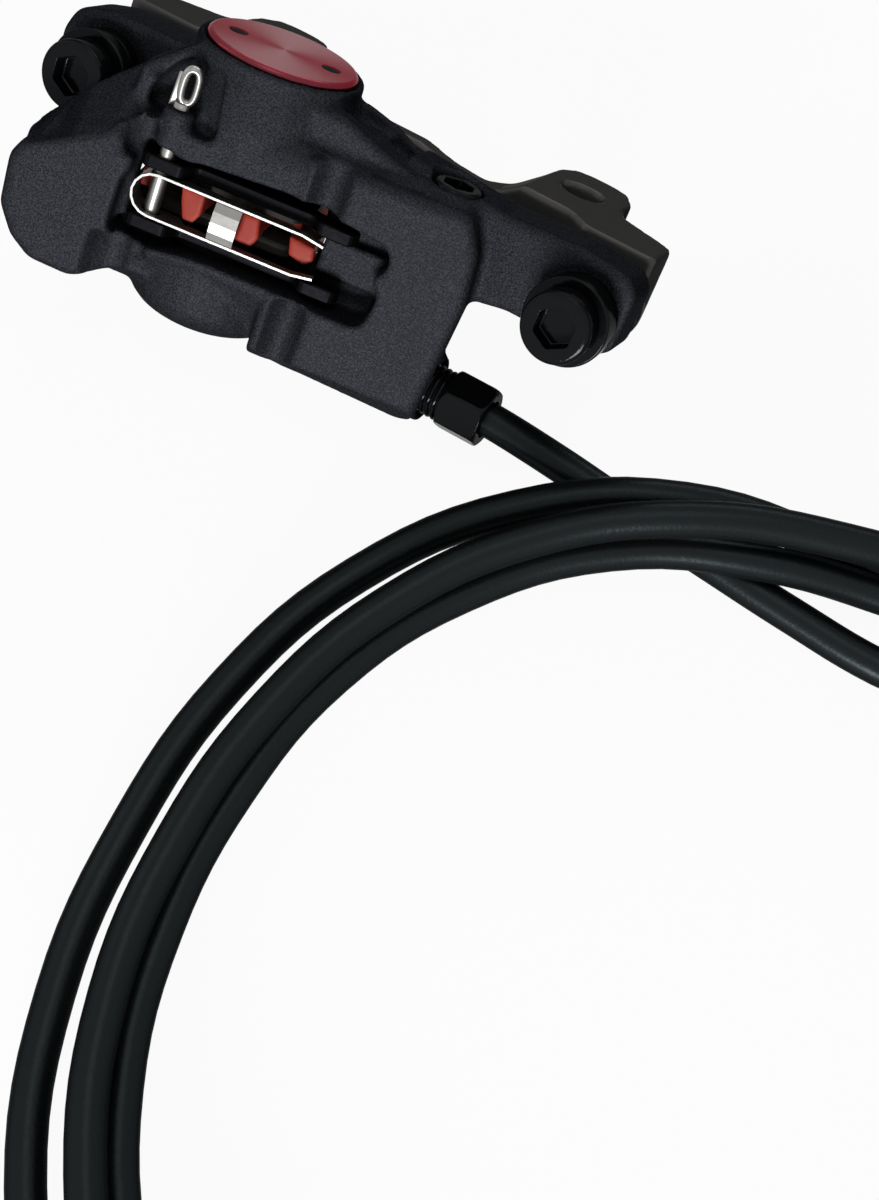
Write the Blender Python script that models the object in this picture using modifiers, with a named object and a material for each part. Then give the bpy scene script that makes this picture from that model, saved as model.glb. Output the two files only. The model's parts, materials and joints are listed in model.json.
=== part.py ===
"""Hydraulic disc brake: a two piston post mount caliper on its frame adapter,
with pads, pad spring, split pin, transport spacer and a coiled brake hose.

Three frames carry the pieces:
  table    +Z up, the surface that the brake rests on is Z = 0
  caliper  X from bolt to bolt, Y along the pistons, Z along the bolts
  body     origin where the piston axis meets the rotor plane, Y the same,
           Z out of the pad window, turned from the caliper frame about Y
"""

import math

import bmesh
import bpy
from mathutils import Matrix, Vector

MM = 0.001
CLEARANCE = 0.3 * MM
QUARTER = math.radians(90)

# Rest pose and frames
BOLT_SPACING = 74.2 * MM
REST_TILT = math.radians(51)
REST_HEIGHT = 29.96 * MM
BODY_TURN = math.radians(15)
BODY_ORIGIN = Vector((-12.7, -7.3, -8.5)) * MM

# Rotor slot, pads and pistons, measured from the rotor plane
ROTOR_RADIUS = 80.0 * MM
ROTOR_REACH = 8.2 * MM
ROTOR_CLEARANCE = 1.2 * MM
SLOT_HALF = 2.2 * MM
SPACER_THICKNESS = 2.4 * MM
SPACER_GAP = 0.4 * MM
LINING_THICKNESS = 1.7 * MM
PLATE_THICKNESS = 1.8 * MM
BOND_GAP = 0.02 * MM
PAD_RETRACTION = 0.9 * MM
PISTON_RADIUS = 8.0 * MM
PISTON_LENGTH = 8.0 * MM
PISTON_CUP_RADIUS = 5.4 * MM
PISTON_CUP_DEPTH = 4.8 * MM
SEAL_THICKNESS = 1.2 * MM
SEAL_WIDTH = 2.0 * MM
SEAL_SETBACK = 2.8 * MM
CHAMBER = 1.6 * MM

LINING_FACE = SPACER_THICKNESS / 2 + SPACER_GAP
PLATE_FACE = LINING_FACE + LINING_THICKNESS
PLATE_BACK = PLATE_FACE + PLATE_THICKNESS
PISTON_FACE = PLATE_BACK + CLEARANCE
PISTON_BACK = PISTON_FACE + PISTON_LENGTH
POCKET_HALF = PLATE_BACK + PAD_RETRACTION
BORE_RADIUS = PISTON_RADIUS + CLEARANCE
SEAL_Y = PISTON_FACE + SEAL_SETBACK

# Outboard boss and the cap that closes its bore
BOSS_LIP_RADIUS = 11.4 * MM
BOSS_BASE_RADIUS = 12.3 * MM
BOSS_TOP = 20.5 * MM
CAP_RADIUS = 10.3 * MM
CAP_TOP = 21.1 * MM
CAP_FLANGE = 1.5 * MM
CAP_SKIRT_RADIUS = 8.6 * MM
CAP_BEVEL = 0.45 * MM
CAP_PIN_RADIUS = 1.3 * MM
CAP_PIN_SPACING = 13.0 * MM
CAP_PIN_DEPTH = 0.9 * MM
ORING_SECTION = 0.6 * MM

# Inboard boss
BULGE_RADIUS = 11.7 * MM
BULGE_END = 17.5 * MM
BULGE_FLAT_RADIUS = 6.5 * MM
BULGE_ROUND = 5.0 * MM

# Casting, body frame
FRONT_Z = 12.6 * MM
WEB_FRONT = 7.6 * MM
WEB_BACK = 2.8 * MM
BLOCK_BACK = -0.9 * MM
CAST_EDGE = 1.2 * MM

# Pad pin, body frame
PIN_X = -8.7 * MM
PIN_Z = 10.3 * MM
PIN_RADIUS = 1.05 * MM
PIN_SPLIT = 0.3 * MM
PIN_END = -9.4 * MM
EYE_Y = 14.4 * MM
EYE_RADIUS = 1.7 * MM
EYE_TURN = math.radians(70)

# Pad spring
SPRING_SHEET = 0.3 * MM
SPRING_TOP = 12.2 * MM
SPRING_LOW = 8.4 * MM
SPRING_END_X = 14.5 * MM

# Mount ears, bolts and washers, caliper frame
EAR_TOP = -8.5 * MM
EAR_THICKNESS = 8.0 * MM
BOLT_RADIUS = 3.0 * MM
BOLT_HEAD_RADIUS = 4.75 * MM
BOLT_HEAD_HEIGHT = 4.0 * MM
BOLT_SOCKET_RADIUS = 2.9 * MM
BOLT_SOCKET_DEPTH = 2.2 * MM
BOLT_LENGTH = 22.0 * MM
BOLT_END_ROOM = 1.0 * MM
WASHER_RADIUS = 5.9 * MM
LOWER_WASHER_STACK = 3.0 * MM
EAR_SLOT_LENGTH = 9.6 * MM
EAR_BOTTOM = EAR_TOP - EAR_THICKNESS
POST_FACE = EAR_BOTTOM - LOWER_WASHER_STACK

# Frame adapter, caliper frame
IS_SPACING = 51.0 * MM
IS_HOLE_Z = -33.2 * MM
IS_BOSS_RADIUS = 9.7 * MM
IS_HOLE_RADIUS = 3.0 * MM
ADAPTER_INNER = -3.8 * MM
ADAPTER_OUTER = 9.0 * MM
IS_FACE = 7.8 * MM
ADAPTER_HOLE_RADIUS = 3.3 * MM

# Hose port, bleed screw and hose
PORT_Y = -20.9 * MM
PORT_Z = -13.7 * MM
PORT_FACE = 21.4 * MM
PORT_RADIUS = 5.0 * MM
HOSE_RADIUS = 2.5 * MM
HOSE_BORE = 1.3 * MM
NUT_THREAD_RADIUS = 3.7 * MM
NUT_THREAD_LENGTH = 6.0 * MM
NUT_NECK = 2.2 * MM
NUT_FLATS = 8.0 * MM
NUT_LENGTH = 6.6 * MM
BLEED_X = 27.7 * MM
BLEED_Z = 4.9 * MM
BLEED_TOP = 15.4 * MM
BLEED_RADIUS = 3.4 * MM
BLEED_BOSS_RADIUS = 5.2 * MM
PASSAGE_RADIUS = 1.0 * MM

# The hose on the table, about the middle of its loops in the table frame: each
# key is how far it has turned from its start, in degrees, its distance from
# that middle and its height, in mm. It lies on the table but for the humps
# where it passes over itself.
LOOP_MIDDLE = Vector((101.0, -67.0)) * MM
LOOP_START = 98.0
LOOP_KEYS = (
    (0, 61.6, 2.5), (38, 66.5, 2.5), (98, 75.0, 2.5), (188, 80.0, 2.5), (240, 81.6, 2.5),
    (270, 79.8, 2.5), (298, 81.6, 2.5), (312, 82.2, 4.2), (326, 79.3, 8.6), (333, 78.3, 8.9),
    (344, 76.9, 6.4), (358, 74.6, 2.8), (380, 71.5, 4.0), (408, 68.8, 8.0), (436, 68.6, 3.4),
    (458, 69.3, 2.5), (548, 71.2, 2.5), (602, 70.8, 2.5), (634, 70.2, 2.5), (653, 71.8, 2.5),
    (674, 72.9, 3.2), (687, 72.2, 5.6), (696, 71.0, 7.8), (704, 70.3, 6.6), (714, 69.9, 3.6),
    (726, 72.8, 3.6), (744, 75.4, 3.4), (768, 74.4, 3.4), (788, 73.6, 6.6), (818, 73.6, 7.0),
    (908, 74.6, 7.0), (962, 74.0, 7.2), (996, 72.6, 7.4), (1014, 73.6, 7.6),
    (1034, 74.5, 9.0), (1046, 73.4, 12.0), (1056, 72.8, 12.9), (1067, 72.8, 11.8),
    (1080, 75.0, 8.6), (1098, 79.0, 4.0), (1120, 80.8, 2.5), (1178, 82.4, 2.8), (1222, 87.0, 5.0),
)
LOOP_STEP = 16.0
EXIT_KEYS = ((41.5, -2.9, 4.4), (52.0, -3.6, 3.5), (64.5, -4.3, 2.8), (79.0, -5.4, 2.5))

# The hose and what lies on the table with it
LOOSE = ("brake_hose", "lever_hose_nut", "lever_hose_olive", "lever_hose_insert")

# Faces round each turned shape
FINE = 32
MEDIUM = 20
COARSE = 12
ROTOR_FACES = 64
WASHER_FACES = 16
NUT_FACES = 18


def clear_scene():
    """Removes what a new file holds."""
    for obj in list(bpy.data.objects):
        bpy.data.objects.remove(obj, do_unlink=True)


def new_collection(name):
    collection = bpy.data.collections.new(name)
    bpy.context.scene.collection.children.link(collection)
    return collection


def empty(name, parent=None, location=(0, 0, 0), rotation=(0, 0, 0)):
    """A frame that pieces are parented to."""
    frame = bpy.data.objects.new(name, None)
    frame.empty_display_size = 10 * MM
    frame.parent = parent
    frame.location = location
    frame.rotation_euler = rotation
    PARTS.objects.link(frame)
    return frame


def finish(name, colour, roughness, metallic=0.0):
    """A Principled material in the piece's own colour."""
    material = bpy.data.materials.new(name)
    material.use_nodes = True
    shader = material.node_tree.nodes["Principled BSDF"]
    shader.inputs["Base Color"].default_value = (*colour, 1)
    shader.inputs["Roughness"].default_value = roughness
    shader.inputs["Metallic"].default_value = metallic
    return material


def add(name, mesh, frame, material=None, location=(0, 0, 0), rotation=(0, 0, 0)):
    """Puts a mesh in the scene: a piece if it has a material, else a helper."""
    obj = bpy.data.objects.new(name, mesh)
    obj.parent = frame
    obj.location = location
    obj.rotation_euler = rotation
    if material:
        mesh.materials.append(material)
        mesh.shade_smooth()
        mesh.set_sharp_from_angle(angle=math.radians(32))
        PARTS.objects.link(obj)
    else:
        obj.hide_render = True
        obj.display_type = "WIRE"
        HELPERS.objects.link(obj)
    return obj


def boolean(target, operation, others):
    """Joins or cuts the target with each of the others."""
    for other in others:
        modifier = target.modifiers.new(operation.title(), "BOOLEAN")
        modifier.operation = operation
        modifier.solver = "EXACT"
        modifier.object = other


def boolean_all(target, operation, name, others):
    """Joins or cuts the target with all of the others in one step."""
    group = bpy.data.collections.new(name)
    HELPERS.children.link(group)
    for other in others:
        HELPERS.objects.unlink(other)
        group.objects.link(other)
    modifier = target.modifiers.new(operation.title(), "BOOLEAN")
    modifier.operation = operation
    modifier.solver = "EXACT"
    modifier.operand_type = "COLLECTION"
    modifier.collection = group


def join(target, *others):
    boolean(target, "UNION", others)


def cut(target, *others):
    boolean(target, "DIFFERENCE", others)


def mesh_of_curve(curve):
    """The closed mesh of a curve, with its caps welded on."""
    holder = bpy.data.objects.new(curve.name, curve)
    bpy.context.scene.collection.objects.link(holder)
    graph = bpy.context.evaluated_depsgraph_get()
    mesh = bpy.data.meshes.new_from_object(holder.evaluated_get(graph))
    bpy.data.objects.remove(holder, do_unlink=True)
    bpy.data.curves.remove(curve)
    shape = bmesh.new()
    shape.from_mesh(mesh)
    bmesh.ops.remove_doubles(shape, verts=shape.verts, dist=1e-6)
    bmesh.ops.recalc_face_normals(shape, faces=shape.faces)
    shape.to_mesh(mesh)
    shape.free()
    return mesh


def rounded(corners, steps=3):
    """A closed outline from (x, y, radius) corners in mm, each turned into an arc."""
    outline = []
    for index, (x, y, radius) in enumerate(corners):
        here = Vector((x, y)) * MM
        back = Vector(corners[index - 1][:2]) * MM - here
        ahead = Vector(corners[(index + 1) % len(corners)][:2]) * MM - here
        if radius == 0:
            outline.append(here)
            continue
        half = back.angle(ahead) / 2
        reach = min(radius * MM / math.tan(half), 0.48 * back.length, 0.48 * ahead.length)
        middle = (back.normalized() + ahead.normalized()).normalized()
        centre = here + middle * reach / math.cos(half)
        start = here + back.normalized() * reach - centre
        end = here + ahead.normalized() * reach - centre
        sweep = start.angle_signed(end)
        for step in range(steps + 1):
            turn = Matrix.Rotation(-sweep * step / steps, 2)
            outline.append(centre + turn @ start)
    return outline


def slab(name, outline, low, high, edge=0.0, segments=2):
    """The mesh of a flat outline between two heights, its rims rounded by edge."""
    curve = bpy.data.curves.new(name, "CURVE")
    curve.dimensions = "2D"
    curve.fill_mode = "BOTH"
    curve.extrude = (high - low) / 2
    spline = curve.splines.new("POLY")
    spline.points.add(len(outline) - 1)
    for point, (x, y) in zip(spline.points, outline):
        point.co = (x, y, 0, 1)
    spline.use_cyclic_u = True
    mesh = mesh_of_curve(curve)
    mesh.transform(Matrix.Translation((0, 0, (low + high) / 2)))
    if edge:
        round_rims(mesh, edge, segments)
    return mesh


def round_rims(mesh, edge, segments):
    """Bevels the edges where a flat end, facing along Z, meets the side."""
    shape = bmesh.new()
    shape.from_mesh(mesh)
    bmesh.ops.dissolve_limit(
        shape, angle_limit=math.radians(1), verts=shape.verts, edges=shape.edges
    )
    rims = []
    for line in shape.edges:
        ends = [face for face in line.link_faces if abs(face.normal.z) > 0.9]
        if len(ends) == 1:
            rims.append(line)
    bmesh.ops.bevel(
        shape,
        geom=rims,
        offset=edge,
        segments=segments,
        profile=0.5,
        affect="EDGES",
        clamp_overlap=True,
    )
    bmesh.ops.triangulate(shape, faces=shape.faces)
    shape.to_mesh(mesh)
    shape.free()


def rod(name, radius, low, high, faces=MEDIUM, top_radius=None):
    """The mesh of a cylinder or cone along Z."""
    shape = bmesh.new()
    bmesh.ops.create_cone(
        shape,
        cap_ends=True,
        segments=faces,
        radius1=radius,
        radius2=radius if top_radius is None else top_radius,
        depth=high - low,
        matrix=Matrix.Translation((0, 0, (low + high) / 2)),
    )
    mesh = bpy.data.meshes.new(name)
    shape.to_mesh(mesh)
    shape.free()
    return mesh


def turned(name, profile, frame, material=None, faces=MEDIUM, ring=False, **place):
    """A profile of (radius, height) points, turned about Z. A ring's profile closes."""
    edges = [(index, index + 1) for index in range(len(profile) - 1)]
    if ring:
        edges.append((len(profile) - 1, 0))
    mesh = bpy.data.meshes.new(name)
    mesh.from_pydata([(radius, 0, height) for radius, height in profile], edges, [])
    obj = add(name, mesh, frame, None, **place)
    screw = obj.modifiers.new("Turned", "SCREW")
    screw.steps = faces
    screw.render_steps = faces
    screw.use_merge_vertices = True
    screw.merge_threshold = 1e-6
    screw.use_smooth_shade = True
    if material:
        mesh.materials.append(material)
        HELPERS.objects.unlink(obj)
        PARTS.objects.link(obj)
        obj.hide_render = False
        obj.display_type = "TEXTURED"
    return obj


def drilling(name, start, end, radius, frame):
    """A drilled passage between two points."""
    run = Vector(end) - Vector(start)
    turn = run.to_track_quat("Z", "Y").to_euler()
    return add(name, rod(name, radius, 0, run.length, 10), frame, location=start, rotation=turn)


# The ways that a shape drawn along Z is laid
ALONG_Y = (-QUARTER, 0, 0)
ALONG_MINUS_Y = (QUARTER, 0, 0)
ALONG_X = (0, QUARTER, 0)


def body_solids(material):
    """What the casting is joined from, each with its own rounded rims."""
    body = turned(
        "caliper_body",
        [
            (0, BOSS_TOP),
            (BOSS_LIP_RADIUS - 0.3 * MM, BOSS_TOP),
            (BOSS_LIP_RADIUS, BOSS_TOP - 0.4 * MM),
            (BOSS_LIP_RADIUS, BOSS_TOP - 1.6 * MM),
            (BOSS_LIP_RADIUS + 0.3 * MM, BOSS_TOP - 3.4 * MM),
            (BOSS_BASE_RADIUS, BOSS_TOP - 8 * MM),
            (BOSS_BASE_RADIUS, -1 * MM),
            (0, -1 * MM),
        ],
        BODY,
        material,
        faces=FINE,
        rotation=ALONG_Y,
    )
    bulge_rise = BULGE_RADIUS - BULGE_FLAT_RADIUS
    arc = []
    for step in range(6):
        angle = QUARTER * step / 5
        radius = BULGE_FLAT_RADIUS + bulge_rise * math.sin(angle)
        arc.append((radius, BULGE_END - BULGE_ROUND * (1 - math.cos(angle))))
    bulge = turned(
        "inboard_barrel",
        [(0, BULGE_END), *arc, (BULGE_RADIUS, 0), (0, 0)],
        BODY,
        faces=FINE,
        rotation=ALONG_MINUS_Y,
    )
    # The front wall round the pad window, drawn from the side
    wall_outline = rounded(
        [
            (-3.0, 15.4, 2), (-12.0, 13.6, 4), (-12.3, 5, 0), (-12.3, -7, 3),
            (-8.6, -13.2, 4), (-3, -15.6, 3), (3.8, -15.5, 0), (3.8, 15.1, 0),
        ]
    )
    wall = add(
        "front_wall",
        slab("front_wall", wall_outline, -13.3 * MM, 16.8 * MM),
        BODY,
        rotation=(0, QUARTER, 0),
    )
    block_outline = rounded(
        [
            (9, 13.0, 0), (27.3, 13.6, 2), (31.2, 14.0, 2.5), (33.8, 9.0, 3), (34.6, 2.0, 4),
            (33.9, -7.5, 4), (33.3, -16.8, 2), (31.0, -17.8, 2), (17.0, -16.2, 6),
            (9.0, -16.0, 0),
        ]
    )
    block = add(
        "right_block",
        slab("right_block", block_outline, BLOCK_BACK, FRONT_Z, CAST_EDGE),
        BODY,
    )
    chamfer_outline = [
        Vector(point) * MM for point in [(-14.6, -13.0), (-14.6, -23), (-2.6, -23), (-2.6, -22)]
    ]
    chamfer = add(
        "block_chamfer",
        slab("block_chamfer", chamfer_outline, 8 * MM, 40 * MM),
        BODY,
        rotation=(0, QUARTER, 0),
    )
    cut(block, chamfer)
    lobe_outline = rounded(
        [
            (-26.4, 1.4, 2.5), (-16.2, 7.0, 2), (-12.0, 5.6, 0), (-12.0, -13.0, 0),
            (-16.6, -15.2, 3), (-22.4, -15.0, 3), (-25.6, -12.8, 3), (-28.0, -9.0, 3),
            (-28.3, -2.0, 3),
        ]
    )
    lobe = add("left_lobe", slab("left_lobe", lobe_outline, 1.5 * MM, FRONT_Z, CAST_EDGE), BODY)
    web_outline = rounded(
        [
            (-28.4, -7.0, 2), (-27.8, 1.4, 4), (-21.6, 9.2, 8), (-15.6, 14.6, 8),
            (-9.4, 19.9, 0), (-2.0, 19.4, 0), (-2.0, 1.0, 0), (-14.0, -7.0, 0),
        ]
    )
    web = add("web", slab("web", web_outline, WEB_BACK, WEB_FRONT, 0.9 * MM), BODY)
    ledge_outline = rounded(
        [
            (-18.5, 5.2, 1.5), (-13.4, 8.8, 2), (-4.0, 9.6, 1.5), (2.7, 9.8, 0), (2.7, 1.3, 0),
            (-15.3, 1.3, 0),
        ]
    )
    ledge = add("ledge", slab("ledge", ledge_outline, 1.7 * MM, 12.1 * MM, 0.9 * MM), BODY)
    ribs = []
    for name, low, high, drop in (("upper_rib", 5.6, 9.2, 0.0), ("lower_rib", -1.5, 3.6, 1.6)):
        rib_outline = rounded(
            [
                (4 + drop, 18.6 - drop, 0), (11.5, 18.4 - drop, 2), (19, 15.6 - drop, 6),
                (30 - drop, 12.4 - drop / 4, 0), (30 - drop, 7.4 - drop, 0), (4 + drop, 7.4 - drop, 0),
            ]
        )
        ribs.append(add(name, slab(name, rib_outline, low * MM, high * MM, 0.8 * MM), BODY))
    filler_outline = rounded([(6.4, 14.7, 0), (21.4, 13.1, 0), (21.4, 6.9, 0), (6.4, 6.9, 0)])
    filler = add("rib_root", slab("rib_root", filler_outline, -1 * MM, 8 * MM), BODY)
    bleed_boss = add(
        "bleed_boss",
        rod("bleed_boss", BLEED_BOSS_RADIUS, 8 * MM, BLEED_TOP - 0.7 * MM),
        BODY,
        location=(BLEED_X, 0, BLEED_Z),
        rotation=ALONG_Y,
    )
    port_boss = add(
        "port_boss",
        rod("port_boss", PORT_RADIUS, 8 * MM, PORT_FACE, MEDIUM),
        CALIPER,
        location=(0, PORT_Y, PORT_Z),
        rotation=ALONG_X,
    )
    left_ear_outline = rounded(
        [
            (-30, 8.1, 6), (-38.5, 7.8, 6), (-43.8, 6.2, 3), (-45.2, 2.5, 4), (-44.8, -2.0, 3),
            (-42.6, -4.3, 2), (-24, -4.3, 4), (-12, -2.0, 0), (-12, 8.6, 0),
        ]
    )
    right_ear_outline = rounded(
        [
            (8, 8.6, 0), (8, -6, 0), (21, -5.6, 0), (28, -4.2, 4), (40.8, -4.2, 2),
            (43.2, -2.6, 2), (43.4, 5.4, 2.5), (41.6, 7.4, 3), (34, 8.1, 5), (23, 7.4, 5),
        ]
    )
    ears = []
    for name, outline in (("left_ear", left_ear_outline), ("right_ear", right_ear_outline)):
        mesh = slab(name, outline, EAR_BOTTOM, EAR_TOP, 0.9 * MM)
        ears.append(add(name, mesh, CALIPER))
    return body, [bulge, wall, block, lobe, web, ledge, *ribs, filler, bleed_boss, port_boss, *ears]


def body_cutters():
    """The machined openings of the casting."""
    rotor_centre = ROTOR_REACH - ROTOR_RADIUS
    slot = add(
        "rotor_slot",
        rod("rotor_slot", ROTOR_RADIUS + ROTOR_CLEARANCE, -SLOT_HALF, SLOT_HALF, ROTOR_FACES),
        BODY,
        location=(0, 0, rotor_centre),
        rotation=ALONG_Y,
    )
    pocket_outline = rounded(
        [
            (-12.4, 16, 0), (12.9, 16, 0), (12.9, -9.6, 2), (9, -12.5, 0), (9, -16, 0),
            (-9, -16, 0), (-9, -12.5, 0), (-12.4, -9.6, 2),
        ]
    )
    pocket = add(
        "pad_pocket",
        slab("pad_pocket", pocket_outline, -POCKET_HALF, POCKET_HALF),
        BODY,
        rotation=ALONG_MINUS_Y,
    )
    window_outline = rounded(
        [
            (-13.2, 0.5, 2), (-11.4, 4.2, 2), (-4.0, 6.4, 4), (8.0, 7.2, 8), (17.0, 6.4, 3),
            (22.8, 5.6, 1.8), (23.4, 2.6, 1.6), (21.6, 1.0, 1), (23.4, -1.2, 1.6),
            (22.6, -6.3, 1.8), (15.0, -6.3, 1.5), (11.0, -5.4, 4), (-2.0, -6.2, 8),
            (-9.0, -7.4, 2), (-13.4, -7.2, 1.5),
        ]
    )
    window = add("pad_window", slab("pad_window", window_outline, 6.4 * MM, 16 * MM), BODY)
    outboard_bore = turned(
        "outboard_bore",
        [
            (0, BOSS_TOP + 2 * MM),
            (CAP_RADIUS + CLEARANCE, BOSS_TOP + 2 * MM),
            (CAP_RADIUS + CLEARANCE, CAP_TOP - CAP_FLANGE - CLEARANCE),
            (CAP_SKIRT_RADIUS + CLEARANCE, CAP_TOP - CAP_FLANGE - CLEARANCE),
            (CAP_SKIRT_RADIUS + CLEARANCE, PISTON_BACK + CHAMBER - CLEARANCE),
            *bore_profile(),
        ],
        BODY,
        faces=FINE,
        rotation=ALONG_Y,
    )
    inboard_bore = turned(
        "inboard_bore",
        [(0, PISTON_BACK + CHAMBER), (BORE_RADIUS, PISTON_BACK + CHAMBER), *bore_profile()],
        BODY,
        faces=FINE,
        rotation=ALONG_MINUS_Y,
    )
    recess_outline = rounded(
        [
            (-13.9, 9.6, 1), (-13.6, 12.5, 3), (-10.8, 17.2, 3), (-4.4, 18.4, 1), (-3.0, 9.4, 1),
        ]
    )
    recess = add("pin_recess", slab("pin_recess", recess_outline, 5.2 * MM, 18 * MM), BODY)
    keep = add(
        "bore_wall", rod("bore_wall", 10.5 * MM, 0, 30 * MM, FINE), BODY, rotation=ALONG_Y
    )
    cut(recess, keep)
    pin_hole = add(
        "pin_hole",
        rod("pin_hole", PIN_RADIUS + CLEARANCE, PIN_END - CLEARANCE, 12 * MM, COARSE),
        BODY,
        location=(PIN_X, 0, PIN_Z),
        rotation=ALONG_Y,
    )
    bleed_hole = add(
        "bleed_hole",
        rod("bleed_hole", BLEED_RADIUS + CLEARANCE, BLEED_TOP - 7.4 * MM, BLEED_TOP + 1 * MM),
        BODY,
        location=(BLEED_X, 0, BLEED_Z),
        rotation=ALONG_Y,
    )
    port = add(
        "hose_port",
        rod("hose_port", NUT_THREAD_RADIUS + CLEARANCE, PORT_FACE - 10.5 * MM, PORT_FACE + 1 * MM),
        CALIPER,
        location=(0, PORT_Y, PORT_Z),
        rotation=ALONG_X,
    )
    half = BOLT_SPACING / 2
    slot_end = BOLT_RADIUS + CLEARANCE
    reach = EAR_SLOT_LENGTH / 2 / MM
    wide = slot_end / MM
    ear_slots = []
    heads = []
    for side, x in (("left", -half), ("right", half)):
        outline = rounded(
            [
                (-wide, -reach, wide), (wide, -reach, wide), (wide, reach, wide),
                (-wide, reach, wide),
            ]
        )
        name = side + "_ear_slot"
        low = EAR_BOTTOM - 1 * MM
        ear_slots.append(add(name, slab(name, outline, low, EAR_TOP + 1 * MM), CALIPER))
        ear_slots[-1].location.x = x
        name = side + "_head_room"
        mesh = rod(name, WASHER_RADIUS + 2 * CLEARANCE, EAR_TOP - 0.3 * MM, 1.2 * MM)
        heads.append(add(name, mesh, CALIPER, location=(x, 0, 0)))
    return [
        slot, pocket, window, outboard_bore, inboard_bore, recess, pin_hole, bleed_hole, port,
        *ear_slots, *heads,
    ]


def bore_profile():
    """A cylinder bore from its inner end to the pad pocket, with the seal groove."""
    groove = BORE_RADIUS + SEAL_THICKNESS + CLEARANCE
    return [
        (BORE_RADIUS, PISTON_BACK + CHAMBER - CLEARANCE),
        (BORE_RADIUS, SEAL_Y + SEAL_WIDTH + CLEARANCE),
        (groove, SEAL_Y + SEAL_WIDTH + CLEARANCE),
        (groove, SEAL_Y - CLEARANCE),
        (BORE_RADIUS, SEAL_Y - CLEARANCE),
        (BORE_RADIUS, POCKET_HALF - 1 * MM),
        (0, POCKET_HALF - 1 * MM),
    ]


def passages():
    """The drillings that carry fluid from the hose port to both bores."""
    port_end = (PORT_FACE - 10 * MM, PORT_Y, PORT_Z)
    inboard_end = (-6 * MM, PORT_Y, PORT_Z)
    crossing_x = 28 * MM
    crossing_z = 7.2 * MM
    bleed_end = (BLEED_X, BLEED_TOP - 6.4 * MM, BLEED_Z)
    return [
        drilling("port_passage", port_end, inboard_end, PASSAGE_RADIUS, CALIPER),
        drilling(
            "crossing_passage",
            (crossing_x, BLEED_TOP - 5 * MM, crossing_z),
            (crossing_x, PORT_Y - BODY_ORIGIN.y, crossing_z - 1.6 * MM),
            PASSAGE_RADIUS,
            BODY,
        ),
        drilling(
            "outboard_passage",
            bleed_end,
            (6.5 * MM, PISTON_BACK + CHAMBER / 2, 3 * MM),
            PASSAGE_RADIUS * 0.8,
            BODY,
        ),
    ]


def caliper_body(material):
    """One casting, its machined openings cut from it."""
    body, others = body_solids(material)
    boolean_all(body, "UNION", "casting_solids", others)
    boolean_all(body, "DIFFERENCE", "casting_cutters", [*body_cutters(), *passages()])
    return body


def bore_cap(material, ring_material):
    """The screwed cap with its two pin wrench holes, and its O-ring."""
    under = CAP_TOP - CAP_FLANGE
    end = PISTON_BACK + CHAMBER
    groove = CAP_SKIRT_RADIUS - 2 * ORING_SECTION
    groove_y = under - 0.8 * MM
    cap = turned(
        "bore_cap",
        [
            (0, CAP_TOP),
            (CAP_RADIUS - CAP_BEVEL, CAP_TOP),
            (CAP_RADIUS, CAP_TOP - CAP_BEVEL),
            (CAP_RADIUS, under),
            (CAP_SKIRT_RADIUS, under),
            (CAP_SKIRT_RADIUS, groove_y),
            (groove, groove_y),
            (groove, groove_y - 2 * ORING_SECTION - CLEARANCE),
            (CAP_SKIRT_RADIUS, groove_y - 2 * ORING_SECTION - CLEARANCE),
            (CAP_SKIRT_RADIUS, end),
            (CAP_SKIRT_RADIUS - 2 * MM, end),
            (CAP_SKIRT_RADIUS - 2 * MM, under - 1 * MM),
            (0, under - 1 * MM),
        ],
        BODY,
        material,
        faces=FINE,
        rotation=ALONG_Y,
    )
    for name, x in (("cap_pin_a", -CAP_PIN_SPACING / 2), ("cap_pin_b", CAP_PIN_SPACING / 2)):
        low = CAP_TOP - CAP_PIN_DEPTH
        hole = add(name, rod(name, CAP_PIN_RADIUS, low, CAP_TOP + 1 * MM, COARSE), BODY)
        hole.location = (x, 0, 0)
        hole.rotation_euler = ALONG_Y
        cut(cap, hole)
    centre = groove + CLEARANCE + ORING_SECTION
    middle = groove_y - ORING_SECTION - CLEARANCE / 2
    section = []
    for step in range(8):
        angle = math.radians(22.5 - 45 * step)
        radius = centre + (ORING_SECTION - CLEARANCE / 3) * math.cos(angle)
        section.append((radius, middle + (ORING_SECTION - CLEARANCE / 3) * math.sin(angle)))
    turned(
        "bore_cap_oring", section, BODY, ring_material, faces=COARSE, ring=True, rotation=ALONG_Y
    )


def pistons(material, seal_material):
    """Each piston is a cup that opens to its pad, in a square seal."""
    for side, way in (("outboard", ALONG_Y), ("inboard", ALONG_MINUS_Y)):
        turned(
            side + "_piston",
            [
                (0, PISTON_BACK),
                (PISTON_RADIUS - 0.5 * MM, PISTON_BACK),
                (PISTON_RADIUS, PISTON_BACK - 0.5 * MM),
                (PISTON_RADIUS, PISTON_FACE),
                (PISTON_CUP_RADIUS, PISTON_FACE),
                (PISTON_CUP_RADIUS, PISTON_FACE + PISTON_CUP_DEPTH),
                (0, PISTON_FACE + PISTON_CUP_DEPTH),
            ],
            BODY,
            material,
            faces=FINE,
            rotation=way,
        )
        turned(
            side + "_piston_seal",
            [
                (BORE_RADIUS + SEAL_THICKNESS, SEAL_Y + SEAL_WIDTH),
                (BORE_RADIUS + SEAL_THICKNESS, SEAL_Y),
                (BORE_RADIUS, SEAL_Y),
                (BORE_RADIUS, SEAL_Y + SEAL_WIDTH),
            ],
            BODY,
            seal_material,
            faces=MEDIUM,
            ring=True,
            rotation=way,
        )


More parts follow.
